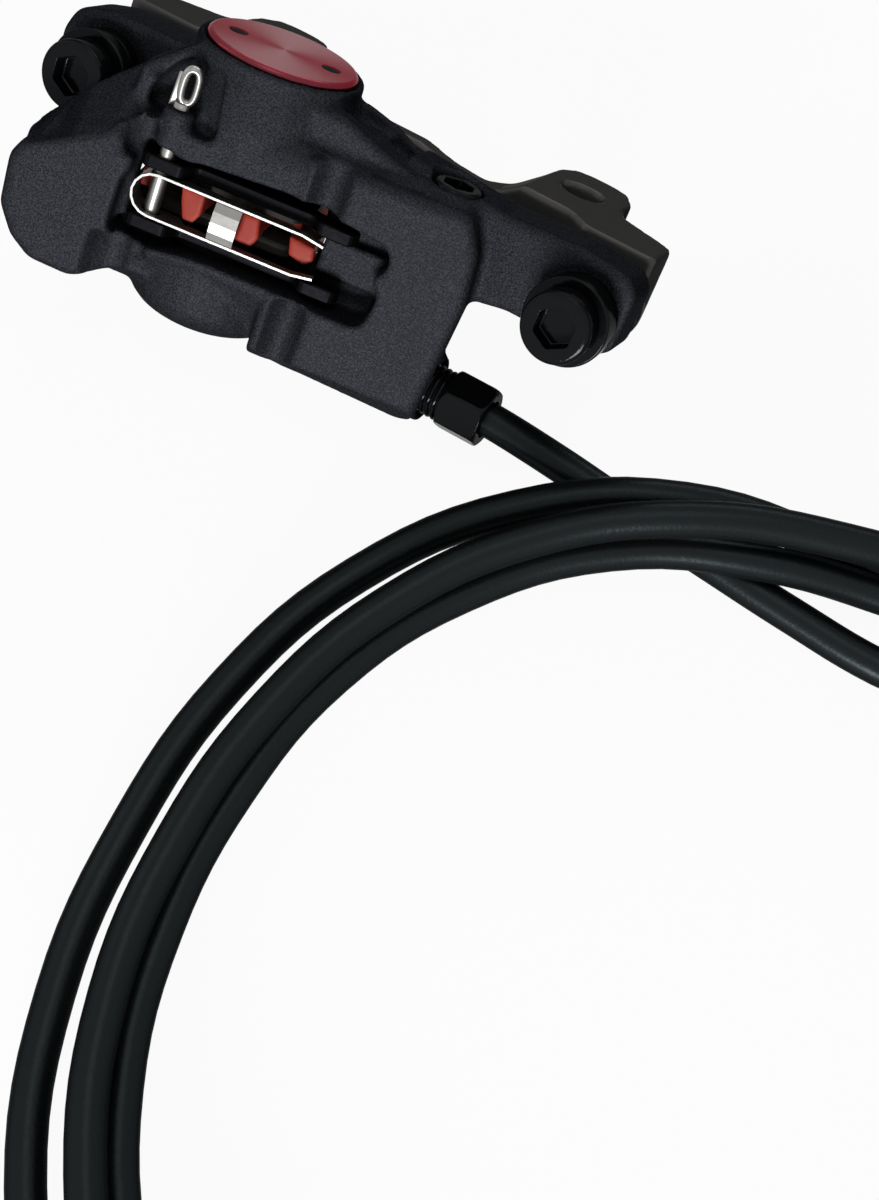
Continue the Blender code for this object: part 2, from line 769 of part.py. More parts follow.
def pads(plate_material, lining_material):
    """Backing plates with the pin ear, and the linings bonded to them."""
    plate_outline = rounded(
        [
            (-11.6, 11.9, 1.2), (-6.0, 11.9, 1), (-4.6, 9.4, 1), (12.0, 9.4, 1), (13.0, 11.2, 1),
            (17.6, 11.2, 1.2), (18.8, 8.2, 1.2), (11.6, 7.4, 1), (11.6, -4.5, 3),
            (6.0, -9.6, 4), (-6.0, -9.6, 4), (-11.0, -4.5, 3), (-11.0, 6.0, 2), (-11.8, 8.0, 1),
        ]
    )
    lining_outline = rounded(
        [(-9.8, 6.6, 2), (10.2, 6.6, 2), (10.2, -4.2, 3), (5.4, -8.8, 4), (-5.4, -8.8, 4),
         (-9.8, -4.2, 3)]
    )
    for side, flip in (("outboard", -1), ("inboard", 1)):
        low, high = sorted((flip * PLATE_FACE, flip * PLATE_BACK))
        plate = slab(side + "_pad_plate", plate_outline, low, high, 0.2 * MM, 1)
        plate = add(side + "_pad_plate", plate, BODY, plate_material, rotation=ALONG_MINUS_Y)
        name = side + "_pad_hole"
        hole = add(name, rod(name, PIN_RADIUS + CLEARANCE, -8 * MM, 8 * MM, COARSE), BODY)
        hole.location = (PIN_X, 0, PIN_Z)
        hole.rotation_euler = ALONG_Y
        cut(plate, hole)
        low, high = sorted((flip * LINING_FACE, flip * (PLATE_FACE - BOND_GAP)))
        lining = slab(side + "_pad_lining", lining_outline, low, high, 0.3 * MM, 1)
        add(side + "_pad_lining", lining, BODY, lining_material, rotation=ALONG_MINUS_Y)



def ribbon(points, thickness):
    """The closed outline of a strip that follows points."""
    left, right = [], []
    for index, point in enumerate(points):
        before = points[max(index - 1, 0)]
        after = points[min(index + 1, len(points) - 1)]
        along = (after - before).normalized()
        side = Vector((-along.y, along.x)) * thickness / 2
        left.append(point + side)
        right.append(point - side)
    return left + right[::-1]


def pad_spring(material):
    """One bent sheet: two legs from a loop round the pin, and a saddle over them."""
    leg_y = PLATE_FACE - CLEARANCE - SPRING_SHEET / 2
    path = [Vector((SPRING_END_X, leg_y - 0.5 * MM)), Vector((SPRING_END_X - 3 * MM, leg_y))]
    path.append(Vector((0, leg_y)))
    for step in range(9):
        angle = QUARTER + 2 * QUARTER * step / 8
        path.append(Vector((PIN_X + leg_y * math.cos(angle), leg_y * math.sin(angle))))
    path.append(Vector((0, -leg_y)))
    path.append(Vector((SPRING_END_X - 3 * MM, -leg_y)))
    path.append(Vector((SPRING_END_X, -leg_y + 0.5 * MM)))
    legs = slab("spring_legs", ribbon(path, SPRING_SHEET), SPRING_LOW, SPRING_TOP)
    spring = add("pad_spring", legs, BODY, material)
    saddle_path = []
    for step in range(7):
        angle = math.radians(180 - 30 * step)
        rise = SPRING_TOP - 0.6 * MM + 1.1 * MM * math.sin(angle)
        saddle_path.append(Vector((leg_y * math.cos(angle), rise)))
    saddle_mesh = slab("saddle", ribbon(saddle_path, SPRING_SHEET), -0.4 * MM, 3.2 * MM)
    saddle_mesh.transform(Matrix(((0, 0, 1, 0), (1, 0, 0, 0), (0, 1, 0, 0), (0, 0, 0, 1))))
    saddle = add("spring_saddle", saddle_mesh, BODY)
    under_outline = [
        Vector(point) * MM for point in [(-5.6, 7.5), (22, 7.5), (22, 11.2), (4, 10.6), (-4, 10.2)]
    ]
    under = add(
        "spring_taper",
        slab("spring_taper", under_outline, -6 * MM, 6 * MM),
        BODY,
        rotation=ALONG_MINUS_Y,
    )
    name = "spring_pin_hole"
    hole = add(name, rod(name, PIN_RADIUS + CLEARANCE, -8 * MM, 8 * MM, COARSE), BODY)
    hole.location = (PIN_X, 0, PIN_Z)
    hole.rotation_euler = ALONG_Y
    join(spring, saddle)
    cut(spring, under, hole)


def split_pin(material):
    """Half round wire folded on itself: two legs and an eye."""
    gap = PIN_SPLIT / 2
    path = [Vector((gap, PIN_END)), Vector((gap, EYE_Y - EYE_RADIUS - 1.2 * MM))]
    for step in range(13):
        angle = math.radians(-65 + 310 * step / 12)
        path.append(Vector((math.cos(angle), math.sin(angle))) * EYE_RADIUS + Vector((0, EYE_Y)))
    path.append(Vector((-gap, EYE_Y - EYE_RADIUS - 1.2 * MM)))
    path.append(Vector((-gap, PIN_END)))
    half_round = bpy.data.curves.new("half_round", "CURVE")
    half_round.dimensions = "2D"
    profile = half_round.splines.new("POLY")
    profile.points.add(7)
    for step, point in enumerate(profile.points):
        angle = math.radians(-90 + 180 * step / 7)
        radius = PIN_RADIUS - gap
        point.co = (radius * math.cos(angle), radius * math.sin(angle), 0, 1)
    profile.use_cyclic_u = True
    section = bpy.data.objects.new("half_round", half_round)
    HELPERS.objects.link(section)
    section.hide_render = True
    wire = bpy.data.curves.new("pad_pin", "CURVE")
    wire.dimensions = "2D"
    wire.bevel_mode = "OBJECT"
    wire.bevel_object = section
    wire.use_fill_caps = True
    spline = wire.splines.new("POLY")
    spline.points.add(len(path) - 1)
    for point, (x, y) in zip(spline.points, path):
        point.co = (x, y, 0, 1)
    mesh = mesh_of_curve(wire)
    pin = add("pad_pin", mesh, BODY, material)
    pin.location = (PIN_X, 0, PIN_Z)
    pin.rotation_euler = (0, EYE_TURN, 0)


def transport_spacer(material):
    """The plastic plate that keeps the pads apart, with teeth in the window."""
    plate_outline = rounded(
        [
            (-12.0, 6.0, 1), (-7.4, 6.0, 0.5), (-6.4, 7.6, 0.4), (-5.2, 10.6, 0.6),
            (-2.0, 10.6, 0.6), (-2.4, 7.6, 0.5), (2.6, 7.6, 0.5), (3.0, 10.6, 0.6),
            (5.8, 10.4, 0.6), (5.4, 7.4, 0.5), (9.4, 7.4, 0.5), (10.0, 10.4, 0.6),
            (13.2, 10.0, 0.6), (13.6, 4.0, 2), (11.0, -15.2, 2), (-9.4, -15.2, 2),
        ]
    )
    half = SPACER_THICKNESS / 2
    plate = slab("transport_spacer", plate_outline, -half, half)
    spacer = add("transport_spacer", plate, BODY, material, rotation=ALONG_MINUS_Y)
    grip_outline = rounded([(-8.4, -14, 1), (10, -14, 1), (10, -19, 2), (-8.4, -19, 2)])
    grip = add(
        "spacer_grip",
        slab("spacer_grip", grip_outline, -2.4 * MM, 2.4 * MM, 0.6 * MM),
        BODY,
        rotation=ALONG_MINUS_Y,
    )
    join(spacer, grip)


def hexagon(name, flats, low, high):
    return rod(name, flats / 2 / math.cos(math.radians(30)), low, high, 6)


def bleed_screw(material, ring_material):
    """A socket screw in the bleed boss, sealed by an O-ring under its head."""
    screw = turned(
        "bleed_screw",
        [
            (0, BLEED_TOP),
            (BLEED_RADIUS - 0.4 * MM, BLEED_TOP),
            (BLEED_RADIUS, BLEED_TOP - 0.4 * MM),
            (BLEED_RADIUS, BLEED_TOP - 3.0 * MM),
            (BLEED_RADIUS - 1.3 * MM, BLEED_TOP - 3.0 * MM),
            (BLEED_RADIUS - 1.3 * MM, BLEED_TOP - 6.2 * MM),
            (0, BLEED_TOP - 6.8 * MM),
        ],
        BODY,
        material,
        faces=MEDIUM,
        location=(BLEED_X, 0, BLEED_Z),
        rotation=ALONG_Y,
    )
    socket = hexagon("bleed_socket", 3 * MM, BLEED_TOP - 2 * MM, BLEED_TOP + 1 * MM)
    socket = add("bleed_socket", socket, BODY)
    socket.location = (BLEED_X, 0, BLEED_Z)
    socket.rotation_euler = ALONG_Y
    cut(screw, socket)
    turned(
        "bleed_screw_oring",
        [
            (BLEED_RADIUS, BLEED_TOP - 3.3 * MM),
            (BLEED_RADIUS, BLEED_TOP - 4.2 * MM),
            (BLEED_RADIUS - 1.0 * MM, BLEED_TOP - 4.2 * MM),
            (BLEED_RADIUS - 1.0 * MM, BLEED_TOP - 3.3 * MM),
        ],
        BODY,
        ring_material,
        faces=COARSE,
        ring=True,
        location=(BLEED_X, 0, BLEED_Z),
        rotation=ALONG_Y,
    )


def adapter(material):
    """The bracket between the caliper's ears and the frame's two tabs."""
    half = BOLT_SPACING / 2 / MM
    top = POST_FACE / MM
    boss = IS_SPACING / 2 / MM
    eye = IS_HOLE_Z / MM
    bar_outline = rounded(
        [
            (-half - 6, top, 2), (-half + 6.4, top, 1.5), (-half + 9.4, top - 2.8, 2),
            (0, top - 3.4, 0), (half - 9.4, top - 2.8, 2), (half - 6.4, top, 1.5),
            (half + 6, top, 2), (half + 6, top - 7, 4), (boss + 6, eye, 3), (boss - 4, eye, 3),
            (boss - 14, eye + 4, 4), (-boss + 14, eye + 4, 4), (-boss + 4, eye, 3),
            (-boss - 6, eye, 3), (-half - 6, top - 7, 4),
        ]
    )
    outline = slab("adapter", bar_outline, -ADAPTER_OUTER, -ADAPTER_INNER, 0.8 * MM)
    bracket = add("mount_adapter", outline, CALIPER, material, rotation=ALONG_MINUS_Y)
    for side, way in (("left", -1), ("right", 1)):
        x = way * IS_SPACING / 2
        name = side + "_tab_boss"
        mesh = rod(name, IS_BOSS_RADIUS, ADAPTER_INNER, IS_FACE, FINE)
        tab = add(name, mesh, CALIPER, location=(x, 0, IS_HOLE_Z), rotation=ALONG_Y)
        name = side + "_tab_hole"
        mesh = rod(name, IS_HOLE_RADIUS, ADAPTER_INNER - 2 * MM, ADAPTER_OUTER + 1 * MM)
        hole = add(name, mesh, CALIPER, location=(x, 0, IS_HOLE_Z), rotation=ALONG_Y)
        name = side + "_tab_face"
        mesh = rod(name, IS_BOSS_RADIUS + 0.6 * MM, IS_FACE, ADAPTER_OUTER + 3 * MM, FINE)
        face = add(name, mesh, CALIPER, location=(x, 0, IS_HOLE_Z), rotation=ALONG_Y)
        name = side + "_bolt_hole"
        low = -BOLT_HEAD_HEIGHT - BOLT_LENGTH - BOLT_END_ROOM
        mesh = rod(name, ADAPTER_HOLE_RADIUS, low, POST_FACE + 1 * MM)
        bolt_hole = add(name, mesh, CALIPER, location=(way * BOLT_SPACING / 2, 0, 0))
        join(bracket, tab)
        cut(bracket, face, hole, bolt_hole)


def bolts_and_washers(bolt_material, washer_material):
    """Each ear has a socket head bolt and two pairs of dished washers."""
    hole = BOLT_RADIUS + CLEARANCE
    stack_top = -BOLT_HEAD_HEIGHT - CLEARANCE
    upper = (stack_top - EAR_TOP - 2 * CLEARANCE) / 2
    lower = (LOWER_WASHER_STACK - 3 * CLEARANCE) / 2
    dish = 0.35 * MM
    for side, x in (("left", -BOLT_SPACING / 2), ("right", BOLT_SPACING / 2)):
        bolt = turned(
            side + "_mount_bolt",
            [
                (0, 0),
                (BOLT_HEAD_RADIUS - 0.6 * MM, 0),
                (BOLT_HEAD_RADIUS, -0.6 * MM),
                (BOLT_HEAD_RADIUS, -BOLT_HEAD_HEIGHT),
                (BOLT_RADIUS, -BOLT_HEAD_HEIGHT),
                (BOLT_RADIUS, -BOLT_HEAD_HEIGHT - BOLT_LENGTH + 0.6 * MM),
                (BOLT_RADIUS - 0.6 * MM, -BOLT_HEAD_HEIGHT - BOLT_LENGTH),
                (0, -BOLT_HEAD_HEIGHT - BOLT_LENGTH),
            ],
            CALIPER,
            bolt_material,
            faces=MEDIUM,
            location=(x, 0, 0),
        )
        name = side + "_bolt_socket"
        socket = add(name, hexagon(name, 5 * MM, -BOLT_SOCKET_DEPTH, 1 * MM), CALIPER)
        socket.location = (x, 0, 0)
        cut(bolt, socket)
        stacks = (
            ("upper_cup_washer", stack_top, upper, -dish, WASHER_RADIUS),
            ("upper_ball_washer", stack_top - upper - CLEARANCE, upper, dish, WASHER_RADIUS),
            ("lower_ball_washer", EAR_BOTTOM - CLEARANCE, lower, -dish, WASHER_RADIUS),
            ("lower_cup_washer", POST_FACE + CLEARANCE + lower, lower, dish, WASHER_RADIUS),
        )
        for name, top, height, bow, radius in stacks:
            rise_top = bow if bow > 0 else 0
            rise_low = bow if bow < 0 else 0
            turned(
                side + "_" + name,
                [
                    (hole, top),
                    (radius - 0.3 * MM, top - rise_top),
                    (radius, top - rise_top - 0.3 * MM),
                    (radius, top - height - rise_low + 0.1 * MM),
                    (radius - 0.1 * MM, top - height - rise_low),
                    (hole, top - height),
                ],
                CALIPER,
                washer_material,
                faces=WASHER_FACES,
                ring=True,
                location=(x, 0, 0),
            )


def hose_nut(prefix, frame, material, location, rotation):
    """The compression nut: a threaded neck, a collar and a hexagon, bored for the hose."""
    hexagon_low = NUT_NECK
    nut = turned(
        prefix + "hose_nut",
        [
            (NUT_FLATS / 2 - 0.2 * MM, hexagon_low + 0.2 * MM),
            (NUT_THREAD_RADIUS, hexagon_low - 0.2 * MM),
            (NUT_THREAD_RADIUS, -NUT_THREAD_LENGTH),
            (HOSE_RADIUS + CLEARANCE, -NUT_THREAD_LENGTH),
            (HOSE_RADIUS + CLEARANCE, hexagon_low + 0.2 * MM),
        ],
        frame,
        material,
        faces=NUT_FACES,
        ring=True,
        location=location,
        rotation=rotation,
    )
    block = hexagon(prefix + "nut_hexagon", NUT_FLATS, hexagon_low, hexagon_low + NUT_LENGTH)
    block = add(prefix + "nut_hexagon", block, frame, location=location, rotation=rotation)
    corner = NUT_FLATS / 2 / math.cos(math.radians(30))
    top = hexagon_low + NUT_LENGTH
    round_off = turned(
        prefix + "nut_round_off",
        [
            (corner - 0.9 * MM, top),
            (corner + 0.2 * MM, top - 0.7 * MM),
            (corner + 0.2 * MM, hexagon_low + 0.7 * MM),
            (corner - 0.9 * MM, hexagon_low),
            (HOSE_RADIUS + CLEARANCE, hexagon_low),
            (HOSE_RADIUS + CLEARANCE, top),
        ],
        frame,
        faces=NUT_FACES,
        ring=True,
        location=location,
        rotation=rotation,
    )
    boolean(block, "INTERSECT", [round_off])
    join(nut, block)
    return nut


def hose_end(prefix, frame, brass, steel, location, rotation):
    """The olive that the nut squeezes, and the barbed insert in the hose's end."""
    inner = HOSE_RADIUS + CLEARANCE
    tip = -NUT_THREAD_LENGTH - CLEARANCE
    turned(
        prefix + "hose_olive",
        [
            (inner + 0.1 * MM, tip),
            (inner + 0.9 * MM, tip - 1.2 * MM),
            (inner + 0.9 * MM, tip - 2.0 * MM),
            (inner + 0.3 * MM, tip - 3.0 * MM),
            (inner, tip - 3.0 * MM),
            (inner, tip),
        ],
        frame,
        brass,
        faces=COARSE,
        ring=True,
        location=location,
        rotation=rotation,
    )
    hose_tip = tip - 3.0 * MM
    shank = HOSE_BORE - CLEARANCE
    turned(
        prefix + "hose_insert",
        [
            (shank, hose_tip + 7.0 * MM),
            (shank, hose_tip - CLEARANCE),
            (HOSE_RADIUS, hose_tip - CLEARANCE),
            (HOSE_RADIUS, hose_tip - CLEARANCE - 0.7 * MM),
            (shank - 0.4 * MM, hose_tip - CLEARANCE - 0.7 * MM),
            (shank - 0.4 * MM, hose_tip + 7.0 * MM),
        ],
        frame,
        steel,
        faces=COARSE,
        ring=True,
        location=location,
        rotation=rotation,
    )


def smooth_value(keys, column, turn):
    """A value between the keys on a smooth curve through them."""
    index = max(i for i, key in enumerate(keys) if key[0] <= turn or i == 0)
    index = min(index, len(keys) - 2)
    before, here = keys[max(index - 1, 0)], keys[index]
    ahead, after = keys[index + 1], keys[min(index + 2, len(keys) - 1)]
    span = ahead[0] - here[0]
    share = (turn - here[0]) / span
    leave = (ahead[column] - before[column]) / (ahead[0] - before[0]) * span
    arrive = (after[column] - here[column]) / (after[0] - here[0]) * span
    square, cube = share**2, share**3
    return (
        here[column] * (2 * cube - 3 * square + 1)
        + leave * (cube - 2 * square + share)
        + ahead[column] * (3 * square - 2 * cube)
        + arrive * (cube - square)
    )


def hose_route(start, straight):
    """The hose's middle line in the table frame, from inside the nut to its far end."""
    route = [start, straight]
    route += [Vector(key) * MM for key in EXIT_KEYS]
    turn = 0.0
    while turn <= LOOP_KEYS[-1][0]:
        radius = smooth_value(LOOP_KEYS, 1, turn) * MM
        height = max(smooth_value(LOOP_KEYS, 2, turn) * MM, HOSE_RADIUS)
        angle = math.radians(LOOP_START - turn)
        place = LOOP_MIDDLE + Vector((math.cos(angle), math.sin(angle))) * radius
        route.append(Vector((place.x, place.y, height)))
        turn += LOOP_STEP
    return route


def brake_hose(material, nut_material, brass, steel):
    """The hose from the caliper's port to its loose end, with a fitting at each end."""
    port = (PORT_FACE + CLEARANCE, PORT_Y, PORT_Z)
    hose_nut("", CALIPER, nut_material, port, ALONG_X)
    hose_end("", CALIPER, brass, steel, port, ALONG_X)
    tip = NUT_THREAD_LENGTH + CLEARANCE + 3.0 * MM
    bpy.context.view_layer.update()
    into_table = TABLE.matrix_world.inverted() @ CALIPER.matrix_world
    start = into_table @ Vector((port[0] - tip, PORT_Y, PORT_Z))
    straight = into_table @ Vector((port[0] + NUT_NECK + NUT_LENGTH + 1 * MM, PORT_Y, PORT_Z))
    route = hose_route(start, straight)
    end = route[-1]
    along = (route[-1] - route[-2]).normalized()
    along.z = 0
    route.append(end + along * (tip + NUT_NECK + NUT_LENGTH))
    curve = bpy.data.curves.new("brake_hose", "CURVE")
    curve.dimensions = "3D"
    curve.bevel_depth = HOSE_RADIUS
    curve.bevel_resolution = 2
    curve.use_fill_caps = True
    spline = curve.splines.new("POLY")
    spline.points.add(len(route) - 1)
    for point, place in zip(spline.points, route):
        point.co = (*place, 1)
    hose = add("brake_hose", mesh_of_curve(curve), TABLE, material)
    lead = route[1] - route[0]
    near = drilling("near_bore", start - lead.normalized() * MM, start + lead.normalized() * 8 * MM,
                    HOSE_BORE, TABLE)
    far = drilling("far_bore", route[-1] + along * MM, route[-1] - along * 8 * MM, HOSE_BORE, TABLE)
    cut(hose, near, far)
    turn = (-along).to_track_quat("Z", "Y").to_euler()
    foot = route[-1] - along * tip
    hose_nut("lever_", TABLE, nut_material, foot, turn)
    hose_end("lever_", TABLE, brass, steel, foot, turn)


def settle():
    """Stands the lowest rigid point on the table and centres the rigid pieces on the origin."""
    graph = bpy.context.evaluated_depsgraph_get()
    low = Vector((1, 1, 1))
    high = Vector((-1, -1, -1))
    for obj in PARTS.objects:
        if obj.type != "MESH" or obj.name in LOOSE:
            continue
        for corner in obj.evaluated_get(graph).to_mesh().vertices:
            place = obj.matrix_world @ corner.co
            low = Vector(map(min, low, place))
            high = Vector(map(max, high, place))
        obj.evaluated_get(graph).to_mesh_clear()
    TABLE.location.x -= (low.x + high.x) / 2
    TABLE.location.y -= (low.y + high.y) / 2


clear_scene()
PARTS = new_collection("hydraulic_disc_brake")
HELPERS = new_collection("cutters_and_guides")
TABLE = empty("table_frame")
CALIPER = empty("caliper_frame", TABLE, (0, 0, REST_HEIGHT), (REST_TILT, 0, 0))
BODY = empty("body_frame", CALIPER, BODY_ORIGIN, (0, BODY_TURN, 0))

CAST_BLACK = finish("cast_black", (0.020, 0.021, 0.024), 0.55)
ADAPTER_BLACK = finish("adapter_black", (0.022, 0.021, 0.021), 0.45)
GLOSS_BLACK = finish("gloss_black", (0.008, 0.008, 0.009), 0.15)
RED_ANODISED = finish("red_anodised", (0.32, 0.012, 0.03), 0.3, 1.0)
STEEL = finish("bright_steel", (0.62, 0.60, 0.56), 0.2, 1.0)
RUBBER = finish("rubber", (0.02, 0.02, 0.02), 0.7)
PHENOLIC = finish("phenolic", (0.10, 0.08, 0.06), 0.5)
DARK_STEEL = finish("dark_steel", (0.03, 0.03, 0.03), 0.4, 1.0)
LINING = finish("lining", (0.10, 0.07, 0.05), 0.9)
HOSE_BLACK = finish("hose_black", (0.012, 0.013, 0.014), 0.4)
BRASS = finish("brass", (0.75, 0.55, 0.25), 0.3, 1.0)
ORANGE = finish("orange_plastic", (0.75, 0.09, 0.05), 0.35)

caliper_body(CAST_BLACK)
bore_cap(RED_ANODISED, RUBBER)
pistons(PHENOLIC, RUBBER)
pads(DARK_STEEL, LINING)
pad_spring(STEEL)
split_pin(STEEL)
transport_spacer(ORANGE)
bleed_screw(GLOSS_BLACK, RUBBER)
adapter(ADAPTER_BLACK)
bolts_and_washers(GLOSS_BLACK, GLOSS_BLACK)
brake_hose(HOSE_BLACK, GLOSS_BLACK, BRASS, STEEL)
settle()
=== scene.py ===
# %% [markdown]
# A hydraulic disc brake for a bicycle, as it comes out of its box: the caliper on its
# frame adapter, with pads and transport spacer in place and the hose in a loose coil.
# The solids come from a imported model, which holds every size and place. This lesson
# dresses them. It could start from an empty scene, but then each piece would have to be
# fitted by eye, so it starts from the solids and works in their frame, in metres.

# %% Load the solids
import json
import math

import bpy
from mathutils import Matrix, Vector

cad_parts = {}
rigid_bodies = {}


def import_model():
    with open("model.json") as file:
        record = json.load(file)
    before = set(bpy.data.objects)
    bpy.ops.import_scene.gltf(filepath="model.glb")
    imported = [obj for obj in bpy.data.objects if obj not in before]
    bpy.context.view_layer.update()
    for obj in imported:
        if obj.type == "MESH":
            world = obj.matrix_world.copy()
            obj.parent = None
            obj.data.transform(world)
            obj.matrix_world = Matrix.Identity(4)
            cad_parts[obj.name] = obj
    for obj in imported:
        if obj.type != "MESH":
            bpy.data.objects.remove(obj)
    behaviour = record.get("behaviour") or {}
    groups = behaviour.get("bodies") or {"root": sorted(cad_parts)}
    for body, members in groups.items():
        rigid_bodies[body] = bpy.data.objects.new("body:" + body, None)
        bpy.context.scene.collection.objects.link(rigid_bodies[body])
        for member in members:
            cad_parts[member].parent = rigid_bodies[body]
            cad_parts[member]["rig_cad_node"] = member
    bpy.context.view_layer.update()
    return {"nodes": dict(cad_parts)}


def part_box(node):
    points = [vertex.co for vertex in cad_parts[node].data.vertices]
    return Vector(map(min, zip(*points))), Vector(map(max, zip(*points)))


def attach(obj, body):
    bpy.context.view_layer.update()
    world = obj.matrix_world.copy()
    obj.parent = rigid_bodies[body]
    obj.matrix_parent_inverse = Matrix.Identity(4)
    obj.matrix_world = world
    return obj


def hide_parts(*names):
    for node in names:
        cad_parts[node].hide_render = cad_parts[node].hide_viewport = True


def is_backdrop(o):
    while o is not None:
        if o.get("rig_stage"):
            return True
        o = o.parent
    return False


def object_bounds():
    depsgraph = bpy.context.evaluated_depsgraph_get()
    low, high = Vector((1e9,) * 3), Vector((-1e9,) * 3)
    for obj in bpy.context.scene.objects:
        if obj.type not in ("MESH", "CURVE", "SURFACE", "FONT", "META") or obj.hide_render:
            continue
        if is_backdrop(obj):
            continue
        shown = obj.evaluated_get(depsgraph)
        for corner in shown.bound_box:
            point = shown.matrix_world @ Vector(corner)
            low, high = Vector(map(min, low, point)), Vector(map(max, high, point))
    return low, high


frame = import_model()

# %% [markdown]
# The brake rests on its side, so almost nothing in it is square to the table. Two slanted
# frames make it simple again. In the caliper's frame X runs from bolt to bolt, Y along the
# pistons and Z along the bolts. The casting's frame is turned 15 degrees more about Y, and
# its Z comes straight out of the window over the pads. A piece is modelled upright at the
# origin and one of these matrices lays it in its place.

# %% The slanted frames
MM = 0.001
CALIPER_ORIGIN = Vector((0.876, -8.721, 29.96)) * MM
REST_TILT = math.radians(51)
BODY_ORIGIN = Vector((-12.7, -7.3, -8.5)) * MM
BODY_TURN = math.radians(15)
QUARTER = math.radians(90)

CALIPER = Matrix.Translation(CALIPER_ORIGIN) @ Matrix.Rotation(REST_TILT, 4, "X")
BODY = CALIPER @ Matrix.Translation(BODY_ORIGIN) @ Matrix.Rotation(BODY_TURN, 4, "Y")
ALONG_Y = Matrix.Rotation(-QUARTER, 4, "X")
ALONG_X = Matrix.Rotation(QUARTER, 4, "Y")
UPRIGHT = Matrix.Rotation(QUARTER, 4, "X")

cap_low, cap_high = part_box("bore_cap")
print("cap's centre in the casting's frame, mm:", BODY.inverted() @ ((cap_low + cap_high) / 2) / MM)

# %% [markdown]
# The photograph looks steeply down at the brake. A camera can be aimed with a constraint,
# but its roll is then hard to hold, so it is set from the two directions that were
# measured from the picture: which way is up in it, and which way is back to the camera.

# %% The camera
CAMERA_PLACE = Vector((89.31, -128.77, 230.30)) * MM
CAMERA_UP = Vector((-0.4818, 0.7709, 0.4166))
CAMERA_BACK = Vector((0.1997, -0.3663, 0.9088))
LENS = 56.73

back = CAMERA_BACK.normalized()
right = CAMERA_UP.cross(back).normalized()
up = back.cross(right)
lens = bpy.data.cameras.new("camera")
lens.lens = LENS
lens.clip_start = 10 * MM
camera = bpy.data.objects.new("camera", lens)
bpy.context.scene.collection.objects.link(camera)
camera.matrix_world = Matrix.Translation(CAMERA_PLACE) @ Matrix((right, up, back)).transposed().to_4x4()
bpy.context.scene.camera = camera
print("camera's distance from the brake in mm:", round(CAMERA_PLACE.length / MM))

# %% [markdown]
# The hose is one long tube: out of its nut, straight for a little, and then three turns of
# a loose coil. Each turn lies on the table except where it passes over another, in a long
# low hump. A chain of short rods would show its joints, so the tube is a curve through the
# route's own points. The keys give how far the hose has turned about the middle of the
# coil, in degrees, and how far it lies from that middle and how high, in millimetres.

# %% Keys of the hose's coil
HOSE_RADIUS = 2.5 * MM
TABLE = Matrix.Translation((CALIPER_ORIGIN.x, CALIPER_ORIGIN.y, 0))
LOOP_MIDDLE = Vector((101.0, -67.0)) * MM
LOOP_START = 98.0
LOOP_STEP = 16.0
LOOP_KEYS = (
    (0, 61.6, 2.5), (38, 66.5, 2.5), (98, 75.0, 2.5), (188, 80.0, 2.5), (240, 81.6, 2.5),
    (270, 79.8, 2.5), (298, 81.6, 2.5), (312, 82.2, 4.2), (326, 79.3, 8.6), (333, 78.3, 8.9),
    (344, 76.9, 6.4), (358, 74.6, 2.8), (380, 71.5, 4.0), (408, 68.8, 8.0), (436, 68.6, 3.4),
    (458, 69.3, 2.5), (548, 71.2, 2.5), (602, 70.8, 2.5), (634, 70.2, 2.5), (653, 71.8, 2.5),
    (674, 72.9, 3.2), (687, 72.2, 5.6), (696, 71.0, 7.8), (704, 70.3, 6.6), (714, 69.9, 3.6),
    (726, 72.8, 3.6), (744, 75.4, 3.4), (768, 74.4, 3.4), (788, 73.6, 6.6), (818, 73.6, 7.0),
    (908, 74.6, 7.0), (962, 74.0, 7.2), (996, 72.6, 7.4), (1014, 73.6, 7.6),
    (1034, 74.5, 9.0), (1046, 73.4, 12.0), (1056, 72.8, 12.9), (1067, 72.8, 11.8),
    (1080, 75.0, 8.6), (1098, 79.0, 4.0), (1120, 80.8, 2.5), (1178, 82.4, 2.8), (1222, 87.0, 5.0),
)
print("keys of the coil:", len(LOOP_KEYS))

# %% [markdown]
# The coil's points come out of its keys one step of turn at a time, on a smooth curve
# through the keys. Straight lines between the keys would be simpler, but the hose would
# have a kink at each key.

# %% Points of the coil
def between_keys(keys, column, turn):
    """A value on the smooth curve through the keys."""
    index = max(i for i, key in enumerate(keys) if key[0] <= turn or i == 0)
    index = min(index, len(keys) - 2)
    before, here = keys[max(index - 1, 0)], keys[index]
    ahead, after = keys[index + 1], keys[min(index + 2, len(keys) - 1)]
    span = ahead[0] - here[0]
    share = (turn - here[0]) / span
    leave = (ahead[column] - before[column]) / (ahead[0] - before[0]) * span
    arrive = (after[column] - here[column]) / (after[0] - here[0]) * span
    square, cube = share**2, share**3
    return (
        here[column] * (2 * cube - 3 * square + 1)
        + leave * (cube - 2 * square + share)
        + ahead[column] * (3 * square - 2 * cube)
        + arrive * (cube - square)
    )


def coil_points():
    """The coil's points on the table, one for each step of its turn."""
    points = []
    turn = 0.0
    while turn <= LOOP_KEYS[-1][0]:
        radius = between_keys(LOOP_KEYS, 1, turn) * MM
        height = max(between_keys(LOOP_KEYS, 2, turn) * MM, HOSE_RADIUS)
        angle = math.radians(LOOP_START - turn)
        place = LOOP_MIDDLE + Vector((math.cos(angle), math.sin(angle))) * radius
        points.append(TABLE @ Vector((place.x, place.y, height)))
        turn += LOOP_STEP
    return points
